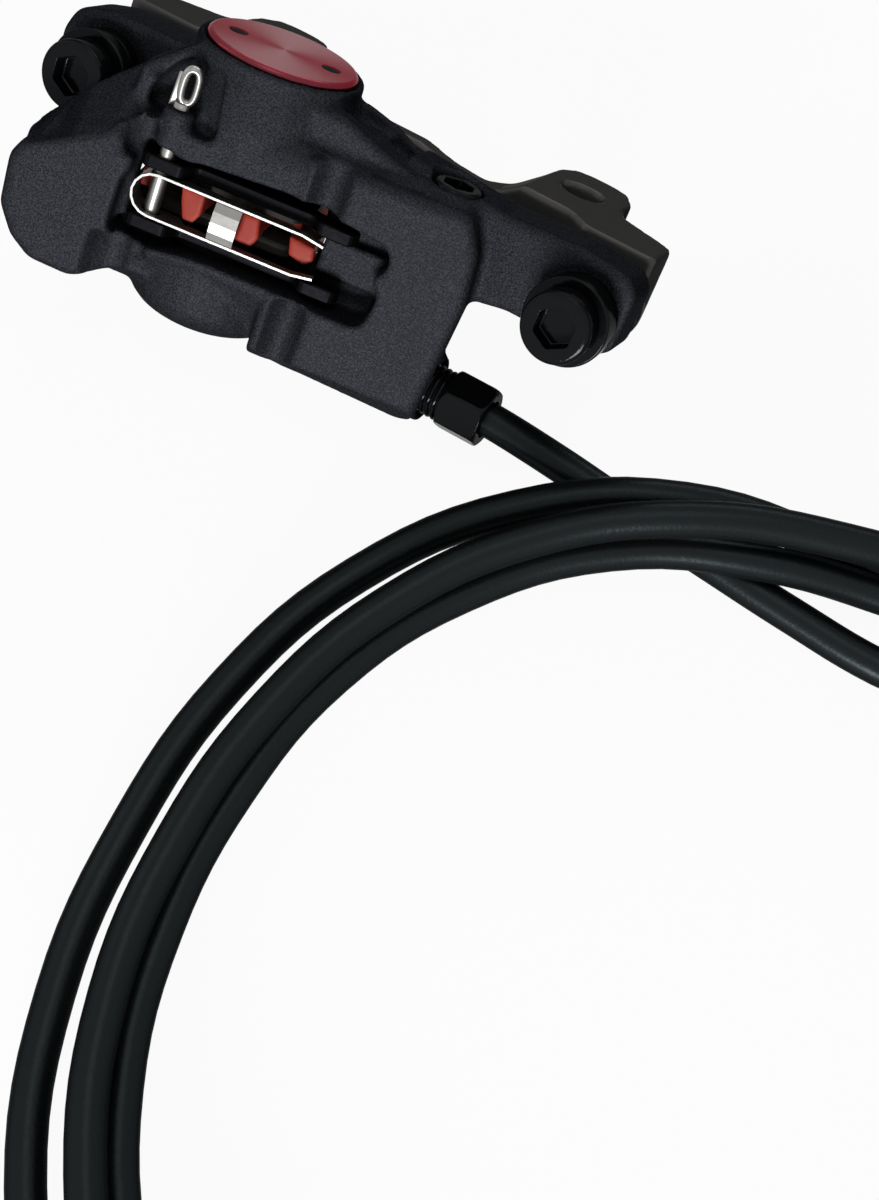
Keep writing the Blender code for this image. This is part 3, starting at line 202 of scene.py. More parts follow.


# %% [markdown]
# Before the coil come a straight piece out of the nut and a few listed points, and after it comes a
# straight end in the loose nut. A hose leaves a fitting straight, so several points lie on each nut's own
# line, where a single one would let the curve swing.

# %% The whole route
EXIT_KEYS = ((41.5, -2.9, 4.4), (52.0, -3.6, 3.5), (64.5, -4.3, 2.8), (79.0, -5.4, 2.5))
PORT = Vector((21.7, -20.9, -13.7)) * MM
NUT_NECK = 2.2 * MM
NUT_LENGTH = 6.6 * MM
HOSE_TIP = 9.3 * MM
HOSE_MOUTH = NUT_NECK + NUT_LENGTH + 1 * MM
START_SHARES = (0, 0.33, 0.67, 0.93, 1)
END_SHARES = (0.3, 0.65, 1)

hose_start = CALIPER @ (PORT - Vector((HOSE_TIP, 0, 0)))
hose_mouth = CALIPER @ (PORT + Vector((HOSE_MOUTH, 0, 0)))
route = [hose_start.lerp(hose_mouth, share) for share in START_SHARES]
route += [TABLE @ (Vector(key) * MM) for key in EXIT_KEYS]
route += coil_points()
along = (route[-1] - route[-2]).normalized()
along.z = 0
coil_end = route[-1]
hose_end = coil_end + along * (HOSE_TIP + NUT_NECK + NUT_LENGTH)
route += [coil_end.lerp(hose_end, share) for share in END_SHARES]
print("hose's points:", len(route))

# %% [markdown]
# A spline with automatic handles bends evenly through points that lie unevenly far apart,
# which a plain polyline would turn into corners. A round bevel gives it its thickness, and
# no skin of rings has to be modelled.

# %% The hose
line = bpy.data.curves.new("hydraulic_hose", "CURVE")
line.dimensions = "3D"
line.resolution_u = 6
line.bevel_depth = HOSE_RADIUS
line.bevel_resolution = 7
line.use_fill_caps = True
spline = line.splines.new("BEZIER")
spline.bezier_points.add(len(route) - 1)
for point, place in zip(spline.bezier_points, route):
    point.co = place
    point.handle_left_type = "AUTO"
    point.handle_right_type = "AUTO"
hose = bpy.data.objects.new("hydraulic_hose", line)
bpy.context.scene.collection.objects.link(hose)

# %% [markdown]
# The next helpers are the few moves that every piece is made with. An operator acts on all
# that is selected, and the solids are still selected from loading, so the first one leaves
# a single object selected. A modifier could stay live, but a finished mesh is easier to
# reuse, so each is applied at once.

# %% Selecting, changing and placing
def alone(obj):
    """Selects one object and nothing else."""
    bpy.ops.object.select_all(action="DESELECT")
    obj.select_set(True)
    bpy.context.view_layer.objects.active = obj


def modify(obj, kind, **settings):
    """Adds a modifier with these settings and applies it."""
    modifier = obj.modifiers.new(kind, kind)
    for name, value in settings.items():
        setattr(modifier, name, value)
    alone(obj)
    bpy.ops.object.modifier_apply(modifier=modifier.name)


def lay(obj, place):
    """Puts a piece that was modelled at the origin in its place, its object staying there."""
    obj.matrix_world = place @ obj.matrix_world
    alone(obj)
    bpy.ops.object.transform_apply(location=True, rotation=True, scale=True)


def smooth(obj, angle=35):
    """Shades round surfaces smooth and keeps edges over the angle crisp."""
    alone(obj)
    bpy.ops.object.shade_smooth_by_angle(angle=math.radians(angle))


# %% [markdown]
# Almost every piece starts as a cylinder, or as a plate with an outline of its own. Both
# start as a primitive at the origin. A plate's corners are moved in code before it is
# extruded, which is surer than drawing each outline by hand.

# %% Shapes to start from
def drum(name, radius, low, high, faces=64):
    """A cylinder along Z between two heights."""
    bpy.ops.object.select_all(action="DESELECT")
    bpy.ops.mesh.primitive_cylinder_add(
        vertices=faces, radius=radius, depth=high - low, location=(0, 0, (low + high) / 2)
    )
    made = bpy.context.active_object
    made.name = name
    bpy.ops.object.transform_apply(location=True, rotation=True, scale=True)
    return made


def oblong(left, right, front, back):
    """The outline of a rectangle."""
    return ((left, front), (right, front), (right, back), (left, back))


def slab(name, outline, low, high):
    """A plate with an outline in X and Y, in mm, between two heights: a disc whose corners
    are moved, and which is then extruded."""
    bpy.ops.object.select_all(action="DESELECT")
    bpy.ops.mesh.primitive_circle_add(vertices=len(outline), radius=MM, fill_type="NGON")
    made = bpy.context.active_object
    made.name = name
    for vertex, (x, y) in zip(made.data.vertices, outline):
        vertex.co = (x * MM, y * MM, low)
    bpy.ops.object.mode_set(mode="EDIT")
    bpy.ops.mesh.select_all(action="SELECT")
    bpy.ops.mesh.extrude_region_move(TRANSFORM_OT_translate={"value": (0, 0, high - low)})
    bpy.ops.mesh.select_all(action="SELECT")
    bpy.ops.mesh.normals_make_consistent(inside=False)
    bpy.ops.object.mode_set(mode="OBJECT")
    return made


# %% [markdown]
# Even a sharp machined edge has a small round on it, and that round catches the light. So
# edges where faces meet at an angle are bevelled. The flat faces beside a bevel would then
# shade round too, and weighted normals keep them flat.

# %% Bevels
def bevel(obj, width, segments, **shape):
    """Rounds the edges where faces meet at an angle."""
    modify(obj, "BEVEL", width=width, segments=segments, limit_method="ANGLE", **shape)


def crisp(obj):
    """Flat faces keep their own normal, and only bevels shade round."""
    smooth(obj)
    modify(obj, "WEIGHTED_NORMAL", keep_sharp=True, weight=100)


# %% [markdown]
# Holes are cut and shanks are joined with Boolean modifiers. Bridging faces by hand would
# give a cleaner mesh, but with a Boolean each hole keeps a size and place of its own. A
# tool reaches a little past the surface that it cuts. A solid's mesh is loose triangles,
# so a copy of it is merged before anything is cut from it.

# %% Cutting and copying
OVERSHOOT = 1 * MM


def carve(obj, tool, operation="DIFFERENCE"):
    """Cuts a piece with a tool, or keeps what they share, and throws the tool away."""
    modify(obj, "BOOLEAN", operation=operation, solver="EXACT", object=tool)
    bpy.data.objects.remove(tool, do_unlink=True)


def twin(obj, name):
    """A copy with a mesh of its own."""
    made = obj.copy()
    made.data = obj.data.copy()
    made.name = name
    bpy.context.scene.collection.objects.link(made)
    return made


def copy_of(node, name):
    """A solid's mesh as a new piece, its loose triangles merged."""
    made = bpy.data.objects.new(name, frame["nodes"][node].data.copy())
    bpy.context.scene.collection.objects.link(made)
    made.data.materials.clear()
    alone(made)
    bpy.ops.object.mode_set(mode="EDIT")
    bpy.ops.mesh.select_all(action="SELECT")
    bpy.ops.mesh.remove_doubles(threshold=0.002 * MM)
    bpy.ops.object.mode_set(mode="OBJECT")
    return made


def pair_of(node, piece, body):
    """A piece stands for a solid: it hides it and moves with its body."""
    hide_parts(node)
    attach(piece, body)
    print(piece.name, "stands for", node, "and has", len(piece.data.polygons), "faces")


# %% [markdown]
# Shader maths reads best as an expression. This small class wraps one output socket, so
# that a plus or a times between two of them adds the Math node that does it. Any other
# node comes from its one method, which sets the node up before it links it.

# %% Shader maths
class Wire:
    """An output socket of a node, on which Python's arithmetic adds Math nodes."""

    def __init__(self, tree, socket=None):
        self.tree = tree
        self.socket = socket

    def node(self, kind, inputs, output=0, **settings):
        """Adds a node with its settings, then its values or links, and wraps an output."""
        made = self.tree.nodes.new("ShaderNode" + kind)
        for name, value in settings.items():
            setattr(made, name, value)
        for name, value in inputs.items():
            if isinstance(value, Wire):
                self.tree.links.new(value.socket, made.inputs[name])
            else:
                made.inputs[name].default_value = value
        return Wire(self.tree, made.outputs[output])

    def also(self, output):
        """Another output of the same node."""
        return Wire(self.tree, self.socket.node.outputs[output])

    def maths(self, operation, *values):
        """A Math node on these values."""
        return self.node("Math", dict(enumerate(values)), operation=operation)

    def __add__(self, other):
        return self.maths("ADD", self, other)

    def __radd__(self, other):
        return self.maths("ADD", other, self)

    def __sub__(self, other):
        return self.maths("SUBTRACT", self, other)

    def __rsub__(self, other):
        return self.maths("SUBTRACT", other, self)

    def __mul__(self, other):
        return self.maths("MULTIPLY", self, other)

    def __rmul__(self, other):
        return self.maths("MULTIPLY", other, self)

    def __truediv__(self, other):
        return self.maths("DIVIDE", self, other)

    def __rtruediv__(self, other):
        return self.maths("DIVIDE", other, self)


# %% [markdown]
# Each finish of the brake is one Principled shader, and a small class makes them all. What
# is the same all over a surface sits on the shader's own sockets, and only what changes
# comes through nodes. A node for each number would work too, but exports lose some of them.

# %% A finish
NOISE_ROUGHNESS = 0.55
# Noise seldom leaves this range
NOISE_LOW = 0.36
NOISE_HIGH = 0.64


class Finish:
    """A material on one Principled shader, fixed values on the shader's own sockets."""

    def __init__(self, name, colour, roughness, **fixed):
        self.material = bpy.data.materials.new(name)
        self.material.use_nodes = True
        self.tree = self.material.node_tree
        self.shader = self.tree.nodes["Principled BSDF"]
        self.shader.inputs["Base Color"].default_value = (*colour, 1)
        self.shader.inputs["Roughness"].default_value = roughness
        for socket, value in fixed.items():
            self.shader.inputs[socket.replace("_", " ")].default_value = value
        start = Wire(self.tree)
        self.place = start.node("TexCoord", {}, output="Object")
        print("finish:", name)

    def noise(self, size, detail=3.0):
        """Noise whose patches are about so many metres across."""
        inputs = {
            "Vector": self.place, "Scale": 1 / size, "Detail": detail, "Roughness": NOISE_ROUGHNESS,
        }
        return self.place.node("TexNoise", inputs, output="Fac")

    def speckle(self, size):
        """Noise spread over the full range, for a grain that is plain to see."""
        patches = self.noise(size, detail=2.0)
        inputs = {"Value": patches, "From Min": NOISE_LOW, "From Max": NOISE_HIGH}
        return self.place.node("MapRange", inputs)

    def blend(self, share, first, second):
        """A colour between two, by a share from 0 to 1."""
        inputs = {"Factor": share, "A": (*first, 1), "B": (*second, 1)}
        return self.place.node("Mix", inputs, output=2, data_type="RGBA")

    def feed(self, socket, wire):
        """Links what changes over the surface to a socket of the shader."""
        self.tree.links.new(wire.socket, self.shader.inputs[socket])

    def bump(self, height, depth):
        """Dents of about this depth in metres, from a height between 0 and 1."""
        inputs = {"Height": height, "Distance": depth, "Strength": 1.0}
        self.feed("Normal", self.place.node("Bump", inputs))

    def mottle(self, size, depth, roughness, detail=3.0):
        """One noise that dents the surface and also varies its roughness between two."""
        patches = self.noise(size, detail)
        self.bump(patches, depth)
        least, most = roughness
        self.feed("Roughness", least + patches * (most - least))
        return patches


def wear(obj, finish):
    """Gives a piece its one finish."""
    if obj.type == "MESH" and "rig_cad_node" in obj and obj.material_slots:
        for slot in obj.material_slots:
            slot.material = finish.material
        return
    obj.data.materials.clear()
    obj.data.materials.append(finish.material)


# %% [markdown]
# Nearly all of this brake is black, and black is mostly what it reflects. On a clear coat
# the pale room would show at every slanting edge and turn the black grey. So these
# finishes are partly metal with a dark tint towards the edge: a lamp still draws its
# light on them, and the room hardly shows.

# %% Settings of the black finishes
DARK_EDGE = (0.05, 0.05, 0.05, 1)
SATIN = {"Metallic": 0.40, "Specular_Tint": DARK_EDGE, "Specular_IOR_Level": 0.0}
GLOSS = {"Metallic": 0.60, "Specular_Tint": DARK_EDGE, "Specular_IOR_Level": 0.02}

# %% [markdown]
# The casting is blasted and then coated, which leaves an even sandy grain about a quarter of
# a millimetre across. A smooth black would look like plastic. Two sizes of noise make the
# grain, and a third, much larger, lets the sheen drift a little over the faces.

# %% Finish: black casting
CASTING_PITS = (0.012, 0.013, 0.016)
CASTING_GRAINS = (0.034, 0.036, 0.042)

casting_black = Finish("casting_black", (0.020, 0.021, 0.026), 0.45, **SATIN)
grain = casting_black.speckle(0.24 * MM)
fine_grain = casting_black.noise(0.16 * MM, detail=1.0)
drift = casting_black.noise(11 * MM, detail=2.0)
casting_black.bump(grain * 0.65 + fine_grain * 0.35, 0.055 * MM)
casting_black.feed("Roughness", 0.38 + grain * 0.10 + drift * 0.12)
casting_black.feed("Base Color", casting_black.blend(grain, CASTING_PITS, CASTING_GRAINS))

# %% [markdown]
# The adapter is machined and plainly anodised. Its black is paler than the casting's,
# smoother and a touch warmer. The casting's finish with less grain would come near, but a
# machined face has no grain at all, and only the lightest ripple is left on it.

# %% Finish: black adapter
adapter_black = Finish("adapter_black", (0.085, 0.083, 0.080), 0.40, **SATIN)
adapter_black.mottle(size=2.2 * MM, depth=0.02 * MM, roughness=(0.36, 0.48))

# %% [markdown]
# Bolts, washers and the hose nut are plated and shine like wet paint. A clear coat over
# black would do for one lamp, but it would mirror the pale room too. So the black comes from
# a low base colour, and the shine from a low roughness with slight waves in it.

# %% Finish: black plating
plated_black = Finish("plated_black", (0.011, 0.012, 0.013), 0.12, **GLOSS)
plated_black.mottle(size=1.1 * MM, depth=0.035 * MM, roughness=(0.07, 0.17), detail=2.0)

# %% [markdown]
# The bore cap is turned aluminium with a red anodised skin, so it is a metal with a red colour and not
# red paint. The turning leaves rings about the cap's own axis, and a Mapping node stands the pattern on
# that axis. Such rings gather the light in two sectors that face each other, and that highlight is
# painted: in two fixed sectors the clear coat is made stronger, so they shine more.

# %% Finish: red anodised cap
RED_DEEP = (0.10, 0.005, 0.012)
RED_LIGHT = (0.15, 0.008, 0.018)
RING_SPACING = 0.22 * MM
# Coat weights outside and inside the two sectors of painted sheen
SHEEN_COAT_LEAST = 0.06
SHEEN_COAT_MOST = 0.50

cap_red = Finish(
    "cap_red", (0.12, 0.006, 0.015), 0.3, Metallic=1.0, Specular_Tint=(0.7, 0.45, 0.46, 1),
    Coat_Roughness=0.25,
)
into_body = BODY.inverted()
turned_place = cap_red.place.node(
    "Mapping",
    {"Vector": cap_red.place, "Location": into_body.translation, "Rotation": into_body.to_euler()},
)
ring_x = turned_place.node("SeparateXYZ", {"Vector": turned_place})
ring_z = ring_x.also("Z")
x_square = ring_x * ring_x
ring_square = x_square + ring_z * ring_z
ring_radius = ring_square.maths("SQRT", ring_square)
rings = ring_radius.maths("SINE", ring_radius * (2 * math.pi / RING_SPACING))
cap_red.bump(rings * 0.5 + 0.5, 0.004 * MM)
cap_tone = cap_red.noise(6 * MM)
cap_red.feed("Base Color", cap_red.blend(cap_tone, RED_DEEP, RED_LIGHT))
cap_red.feed("Roughness", 0.24 + cap_tone * 0.10)
# Painted sheen: the coat is strongest in two fixed sectors, where the turned rings would gather the light
painted_sheen_sector = 1 - x_square / ring_square
cap_red.feed("Coat Weight", SHEEN_COAT_LEAST + painted_sheen_sector * (SHEEN_COAT_MOST - SHEEN_COAT_LEAST))

# %% [markdown]
# Spring and split pin are bright steel, polished by their forming. The pad plates are the
# same metal, blackened. An even mirror would look like chrome, and drawn sheet keeps faint
# marks, so the roughness changes from place to place.

# %% Finish: steels
bright_steel = Finish("bright_steel", (0.25, 0.246, 0.235), 0.3, Metallic=1.0)
bright_steel.mottle(size=0.9 * MM, depth=0.01 * MM, roughness=(0.26, 0.44), detail=4.0)

dark_steel = Finish("dark_steel", (0.005, 0.005, 0.006), 0.3, **GLOSS)
dark_steel.mottle(size=0.8 * MM, depth=0.02 * MM, roughness=(0.28, 0.53), detail=4.0)

# %% [markdown]
# The transport spacer is moulded in orange red plastic. Light goes a little way into it and
# softens it. A paler colour could stand for that, but only subsurface scattering also
# softens the edge of a shadow, so a little of it is used.

# %% Finish: orange plastic
ORANGE_DEEP = (0.24, 0.026, 0.017)
ORANGE_LIGHT = (0.38, 0.048, 0.032)

orange_plastic = Finish(
    "orange_plastic", (0.3, 0.04, 0.03), 0.35, Specular_IOR_Level=0.08,
    Subsurface_Weight=0.2, Subsurface_Scale=1.2 * MM,
)
cloud = orange_plastic.mottle(size=2.4 * MM, depth=0.03 * MM, roughness=(0.28, 0.44))
orange_plastic.feed("Base Color", orange_plastic.blend(cloud, ORANGE_DEEP, ORANGE_LIGHT))

# %% [markdown]
# The hose's jacket is a hard black nylon with a dull sheen. Up close it is very finely
# pebbled, which is what breaks its long highlight up. A rougher finish would only dim that
# light, so the pebbles are a bump.

# %% Finish: hose jacket
hose_black = Finish("hose_black", (0.015, 0.018, 0.019), 0.28, **GLOSS)
pebble = hose_black.noise(0.5 * MM, detail=2.0)
hose_drift = hose_black.noise(26 * MM, detail=2.0)
hose_black.bump(pebble, 0.03 * MM)
hose_black.feed("Roughness", 0.25 + pebble * 0.12 + hose_drift * 0.06)

# %% [markdown]
# What is hardly seen still needs a finish: resin linings with metal in them, moulded
# pistons, rubber seals and brass olives. One grey for all would do in this view, but the
# part is reused, and then somebody takes it apart.

# %% Finish: inner pieces
LINING_RESIN = (0.006, 0.006, 0.005)
LINING_CHIPS = (0.020, 0.017, 0.014)

lining = Finish("pad_lining", (0.02, 0.017, 0.015), 0.85)
chips = lining.noise(0.45 * MM, detail=4.0)
lining.feed("Base Color", lining.blend(chips, LINING_RESIN, LINING_CHIPS))
lining.bump(chips, 0.06 * MM)

piston_resin = Finish("piston_resin", (0.014, 0.013, 0.012), 0.35, **GLOSS)
piston_resin.mottle(size=1.6 * MM, depth=0.02 * MM, roughness=(0.38, 0.56))

# The seals' plain black, which also goes on the cap's wrench holes as painted shade
seal_rubber_and_hole_shade = Finish("seal_rubber_and_hole_shade", (0.018, 0.018, 0.018), 0.7)
seal_rubber_and_hole_shade.mottle(size=0.8 * MM, depth=0.02 * MM, roughness=(0.6, 0.8))

olive_brass = Finish("olive_brass", (0.78, 0.58, 0.28), 0.25, Metallic=1.0)
olive_brass.mottle(size=0.7 * MM, depth=0.01 * MM, roughness=(0.18, 0.38))

# %% [markdown]
# A casting has no sharp inner corners, because metal would not flow into them: where a
# boss meets a wall there is a fillet. Filleting by hand would take hundreds of edges. The
# whole shape is swollen and then shrunk by the same amount instead, which fills inner
# corners and leaves outer ones alone. Each step is remeshed, and a little smoothing then
# eases the outer edges too.

# %% Fillets for a cast shape
def cast(obj, grid, fillet, ease):
    """Fills the inner corners of a shape with fillets and eases its outer edges."""
    for reach in (fillet, -fillet):
        modify(obj, "REMESH", mode="VOXEL", voxel_size=grid)
        modify(obj, "DISPLACE", strength=reach, mid_level=0)
    modify(obj, "REMESH", mode="VOXEL", voxel_size=grid)
    modify(obj, "SMOOTH", factor=0.5, iterations=ease)
    alone(obj)
    bpy.ops.object.shade_smooth()


# %% [markdown]
# Shallow valleys set the two round barrels off from the block between them. Moving the
# solid's own corners could not make them, because it has no edges there. So each valley is
# cut with a plate whose outline is the valley's profile, seen along the barrels.

# %% The casting's valleys
LEFT_VALLEY = (
    (-6.6, 14), (-6.9, 12.4), (-8.8, 10.6), (-10.8, 9.4), (-12.6, 9.4), (-14.2, 10.6),
    (-15.4, 12.5), (-15.6, 14),
)
RIGHT_VALLEY = (
    (10.2, 14), (10.4, 12.4), (11.6, 10.9), (13.0, 10.3), (14.4, 10.9), (15.6, 12.5), (15.8, 14),
)
# Each profile in X and Z, and from where to where it runs along Y
VALLEYS = (
    (LEFT_VALLEY, 3.9, 9.4), (LEFT_VALLEY, -17, -7.3), (RIGHT_VALLEY, 6.6, 14),
    (RIGHT_VALLEY, -17, -6.4),
)
casting = copy_of("caliper_body", "caliper_casting")
for outline, low, high in VALLEYS:
    valley = slab("valley", outline, -high * MM, -low * MM)
    lay(valley, BODY @ UPRIGHT)
    carve(casting, valley)
print("valleys cut:", len(VALLEYS))

# %% [markdown]
# A few small forms are added: a collar about the pad pin and a plug beside it, one thin rib
# by the right barrel, and bridges and floors at the ends of the window, where the table
# would shine through. Booleans could add them one by one, but the remesh that follows fuses
# whatever overlaps, so until then they are loose plates.

# %% Forms added to the casting
PIN_X = -8.7 * MM
PIN_Z = 10.3 * MM
COLLAR_RADIUS = 2.1 * MM
COLLAR_LOW = 6.5 * MM
COLLAR_HIGH = 11.8 * MM
RIB = ((8, 18.2), (12.7, 17.7), (17.2, 16.4), (21.5, 14.2), (27, 12), (27, 6), (8, 6))
EXTRAS = (
    ("right_bridge", oblong(13.8, 23, -2.7, 2.7), 7.2, 8.0),
    ("pin_plug", oblong(-9.9, -7.4, -12, -7.4), 8.6, 10.1),
    ("lower_floor", oblong(-14.4, -11.9, -6.2, -2.4), -16, 5.8),
    ("right_floor", oblong(12.7, 15.5, -6.2, -2.4), -16, 5.8),
    ("left_bridge", oblong(-14.4, -11.95, -5, 5), 7.6, 9.6),
    ("thin_rib", RIB, -4.2, -2.9),
)
at_pin = BODY @ Matrix.Translation((PIN_X, 0, PIN_Z)) @ ALONG_Y
pin_collar = drum("pin_collar", COLLAR_RADIUS, COLLAR_LOW, COLLAR_HIGH, faces=48)
lay(pin_collar, at_pin)
extras = [pin_collar]
for name, outline, low, high in EXTRAS:
    extras.append(slab(name, outline, low * MM, high * MM))
    lay(extras[-1], BODY)
print("forms added:", len(extras))

# %% [markdown]
# Between the left lobe and the cap's boss the metal is a web that falls away from its ridge
# to its foot. The solid is level there, so room for the slope is cut first. The web itself
# is a plate whose upper outline is drawn in, which needs no more than its two outlines.

# %% The web beside the left lobe
WEB_LOW = 3.2 * MM
WEB_HIGH = 12.3 * MM
ROOM_HIGH = 14 * MM
WEB_FOOT = ((-28.0, 1.0), (-22.0, 8.6), (-15.6, 14.4), (-13.9, 13.0), (-13.9, 3), (-24, -2))
WEB_RIDGE = ((-26.3, 0.2), (-20.5, 3.4), (-16.1, 5.8), (-14.2, 5.2), (-13.9, 3), (-24, -2))
ROOM_FOOT = ((-28.0, 1.0), (-22.0, 8.6), (-15.6, 14.4), (-15.4, 17), (-23, 12), (-30, 2.5))
ROOM_TOP = ((-25.9, 0.0), (-20.2, 2.4), (-16.2, 4.2), (-15.4, 17), (-23, 12), (-30, 2.5))


def loft(name, lower, upper, low, high):
    """A slab whose upper outline has corners of its own, so that its sides slope."""
    made = slab(name, lower, low, high)
    for vertex, (x, y) in zip(made.data.vertices[len(lower):], upper):
        vertex.co = (x * MM, y * MM, high)
    return made


room = loft("web_room", ROOM_FOOT, ROOM_TOP, WEB_LOW, ROOM_HIGH)
lay(room, BODY)
carve(casting, room)
web = loft("web", WEB_FOOT, WEB_RIDGE, WEB_LOW, WEB_HIGH)
lay(web, BODY)
print("web's height in mm:", round((WEB_HIGH - WEB_LOW) / MM, 1))

# %% [markdown]
# The pieces of the casting now become one object and then one skin. The grid of the remesh
# is just fine enough for the thin rib. A coarser one would be quicker, but would break it up.

# %% The casting
def merge(obj, *others):
    """Makes several pieces one object, which leaves their surfaces apart."""
    alone(obj)
    for other in others:
        other.select_set(True)
    bpy.ops.object.join()


merge(casting, web, *extras)
cast(casting, grid=0.34 * MM, fillet=0.42 * MM, ease=2)
wear(casting, casting_black)
pair_of("caliper_body", casting, "caliper")

# %% [markdown]
# The adapter's bar is waisted between its two tabs, and the tabs are tongues. It could be
# modelled anew, but the solid already has its holes in the right places. So both forms come
# from keeping only what the solid shares with a plate of the wanted outline: once seen
# from above, once from the frame's side.

# %% The adapter
# Both plates reach past the adapter, so that only their outlines cut
TAB_LOW = -50 * MM
TAB_HIGH = -10 * MM
TAB_FRONT = -12 * MM
TAB_BACK = 8 * MM
WAIST_SIDE = ((20, 7.8), (17, 5.6), (14, 4.9), (9, 5.4), (4, 6.6))
TONGUE_SIDE = (
    (44, -18), (44, -27), (33.2, -31), (31.8, -34), (31.6, -38.5), (29.6, -42.4),
    (25.5, -43.8), (21.4, -42.4), (19.4, -38.5), (19.0, -33.5), (17, -29.2), (13, -27.2),
    (7, -26.6),
)


def mirrored(outline):
    """The same points on the other side of X = 0, in the order that goes on round."""
    return tuple((-x, y) for x, y in reversed(outline))


waist_outline = ((-42.3, -6), (41.6, -6), (41.6, 7.8), *WAIST_SIDE, *mirrored(WAIST_SIDE), (-42.3, 7.8))
tongue_outline = TONGUE_SIDE + mirrored(TONGUE_SIDE)
bracket = copy_of("mount_adapter", "adapter_bracket")
waist = slab("waist", waist_outline, TAB_LOW, TAB_HIGH)
lay(waist, CALIPER)
carve(bracket, waist, "INTERSECT")
tongues = slab("tongues", tongue_outline, TAB_FRONT, TAB_BACK)
lay(tongues, CALIPER @ UPRIGHT)
carve(bracket, tongues, "INTERSECT")
cast(bracket, grid=0.42 * MM, fillet=0.8 * MM, ease=3)
wear(bracket, adapter_black)
pair_of("mount_adapter", bracket, "caliper")

# %% [markdown]
# The cap is a disc with a bevelled rim and two blind holes for a pin wrench. It is turned
# from a cylinder whose rim is bevelled, and the holes are drilled with two more. Hardly any
# light gets into so narrow a hole, so its faces wear a plain black in place of the red.

# %% The bore cap
CAP_RADIUS = 10.3 * MM
CAP_TOP = 21.1 * MM
CAP_FLANGE = 1.5 * MM
CAP_SKIRT_RADIUS = 8.6 * MM
CAP_SKIRT_LOW = 15.0 * MM
CAP_HOLE_RADIUS = 1.3 * MM
CAP_HOLE_SPACING = 13.0 * MM
CAP_HOLE_DEPTH = 0.9 * MM
CAP_SINK = 0.2 * MM
HOLE_MARGIN = 1.02
HOLE_LIP = 0.2 * MM

cap = drum("red_bore_cap", CAP_RADIUS, CAP_TOP - CAP_FLANGE, CAP_TOP, faces=128)
bevel(cap, 0.5 * MM, 3, profile=0.35)
skirt_top = CAP_TOP - CAP_FLANGE + CAP_SINK
skirt = drum("cap_skirt", CAP_SKIRT_RADIUS, CAP_SKIRT_LOW, skirt_top, faces=96)
carve(cap, skirt, "UNION")
for side in (-1, 1):
    hole = drum("cap_hole", CAP_HOLE_RADIUS, CAP_TOP - CAP_HOLE_DEPTH, CAP_TOP + OVERSHOOT, faces=32)
    lay(hole, Matrix.Translation((side * CAP_HOLE_SPACING / 2, 0, 0)))
    carve(cap, hole)
bevel(cap, 0.12 * MM, 2)
crisp(cap)
lay(cap, BODY @ ALONG_Y)
wear(cap, cap_red)
# Painted shade: the faces inside the wrench holes wear the seals' black in place of the red
cap.data.materials.append(seal_rubber_and_hole_shade.material)
for face in cap.data.polygons:
    spot = into_body @ face.center
    off = math.hypot(abs(spot.x) - CAP_HOLE_SPACING / 2, spot.z)
    if off < CAP_HOLE_RADIUS * HOLE_MARGIN and spot.y < CAP_TOP - HOLE_LIP:
        face.material_index = 1
pair_of("bore_cap", cap, "caliper")

# %% [markdown]
# Each mount bolt has a low round head with a rounded rim, a flat land and a six sided
# socket. Head and shank could be one turned profile, but a drum for each keeps their sizes
# apart. One bolt is modelled and copied to the other ear.

# %% The mount bolts
BOLT_SPACING = 74.2 * MM
BOLT_HEAD_RADIUS = 4.75 * MM
BOLT_HEAD_HEIGHT = 4.0 * MM
BOLT_RADIUS = 3.0 * MM
BOLT_LENGTH = 22.0 * MM
SOCKET_FLATS = 5.0 * MM
SOCKET_DEPTH = 2.2 * MM
BOLT_SINK = 0.4 * MM


def hexagon(name, flats, low, high):
    """A six sided rod, so many metres across its flats."""
    return drum(name, flats / 2 / math.cos(math.radians(30)), low, high, faces=6)


bolt = drum("left_bolt", BOLT_HEAD_RADIUS, -BOLT_HEAD_HEIGHT, 0, faces=96)
bevel(bolt, 0.85 * MM, 4, profile=0.62)
shank_top = -BOLT_HEAD_HEIGHT + BOLT_SINK
shank = drum("shank", BOLT_RADIUS, -BOLT_HEAD_HEIGHT - BOLT_LENGTH, shank_top, faces=48)
bevel(shank, 0.5 * MM, 2)
carve(bolt, shank, "UNION")
socket = hexagon("socket", SOCKET_FLATS, -SOCKET_DEPTH, OVERSHOOT)
bevel(socket, 0.35 * MM, 3)
carve(bolt, socket)
bevel(bolt, 0.16 * MM, 3)
crisp(bolt)
right_bolt = twin(bolt, "right_bolt")
for obj, side, node in ((bolt, -1, "left_mount_bolt"), (right_bolt, 1, "right_mount_bolt")):
    lay(obj, CALIPER @ Matrix.Translation((side * BOLT_SPACING / 2, 0, 0)))
    wear(obj, plated_black)
    pair_of(node, obj, "caliper")

# %% [markdown]
# Dished washers let the caliper tilt a little on its bolts: a cup on a ball, above and
# below each ear. The dish itself is hidden in the stack, so each is a ring with soft rims.
# The solids keep a gap between them, and here each ring is drawn a hair taller so that the
# stack closes.

# %% The dished washers
EAR_TOP = -8.5 * MM
EAR_THICKNESS = 8.0 * MM
WASHER_RADIUS = 5.9 * MM
WASHER_HOLE = 3.3 * MM
UPPER_HEIGHT = (-BOLT_HEAD_HEIGHT - EAR_TOP) / 2
LOWER_HEIGHT = 1.5 * MM
BALL_RADIUS = WASHER_RADIUS - 0.15 * MM
EAR_BOTTOM = EAR_TOP - EAR_THICKNESS


def washer(name, top, height, radius):
    """A ring with rounded rims."""
    ring = drum(name, radius, top - height, top, faces=96)
    carve(ring, drum("washer_hole", WASHER_HOLE, top - 2 * height, top + height, faces=48))
    bevel(ring, 0.28 * MM, 4)
    crisp(ring)
    return ring


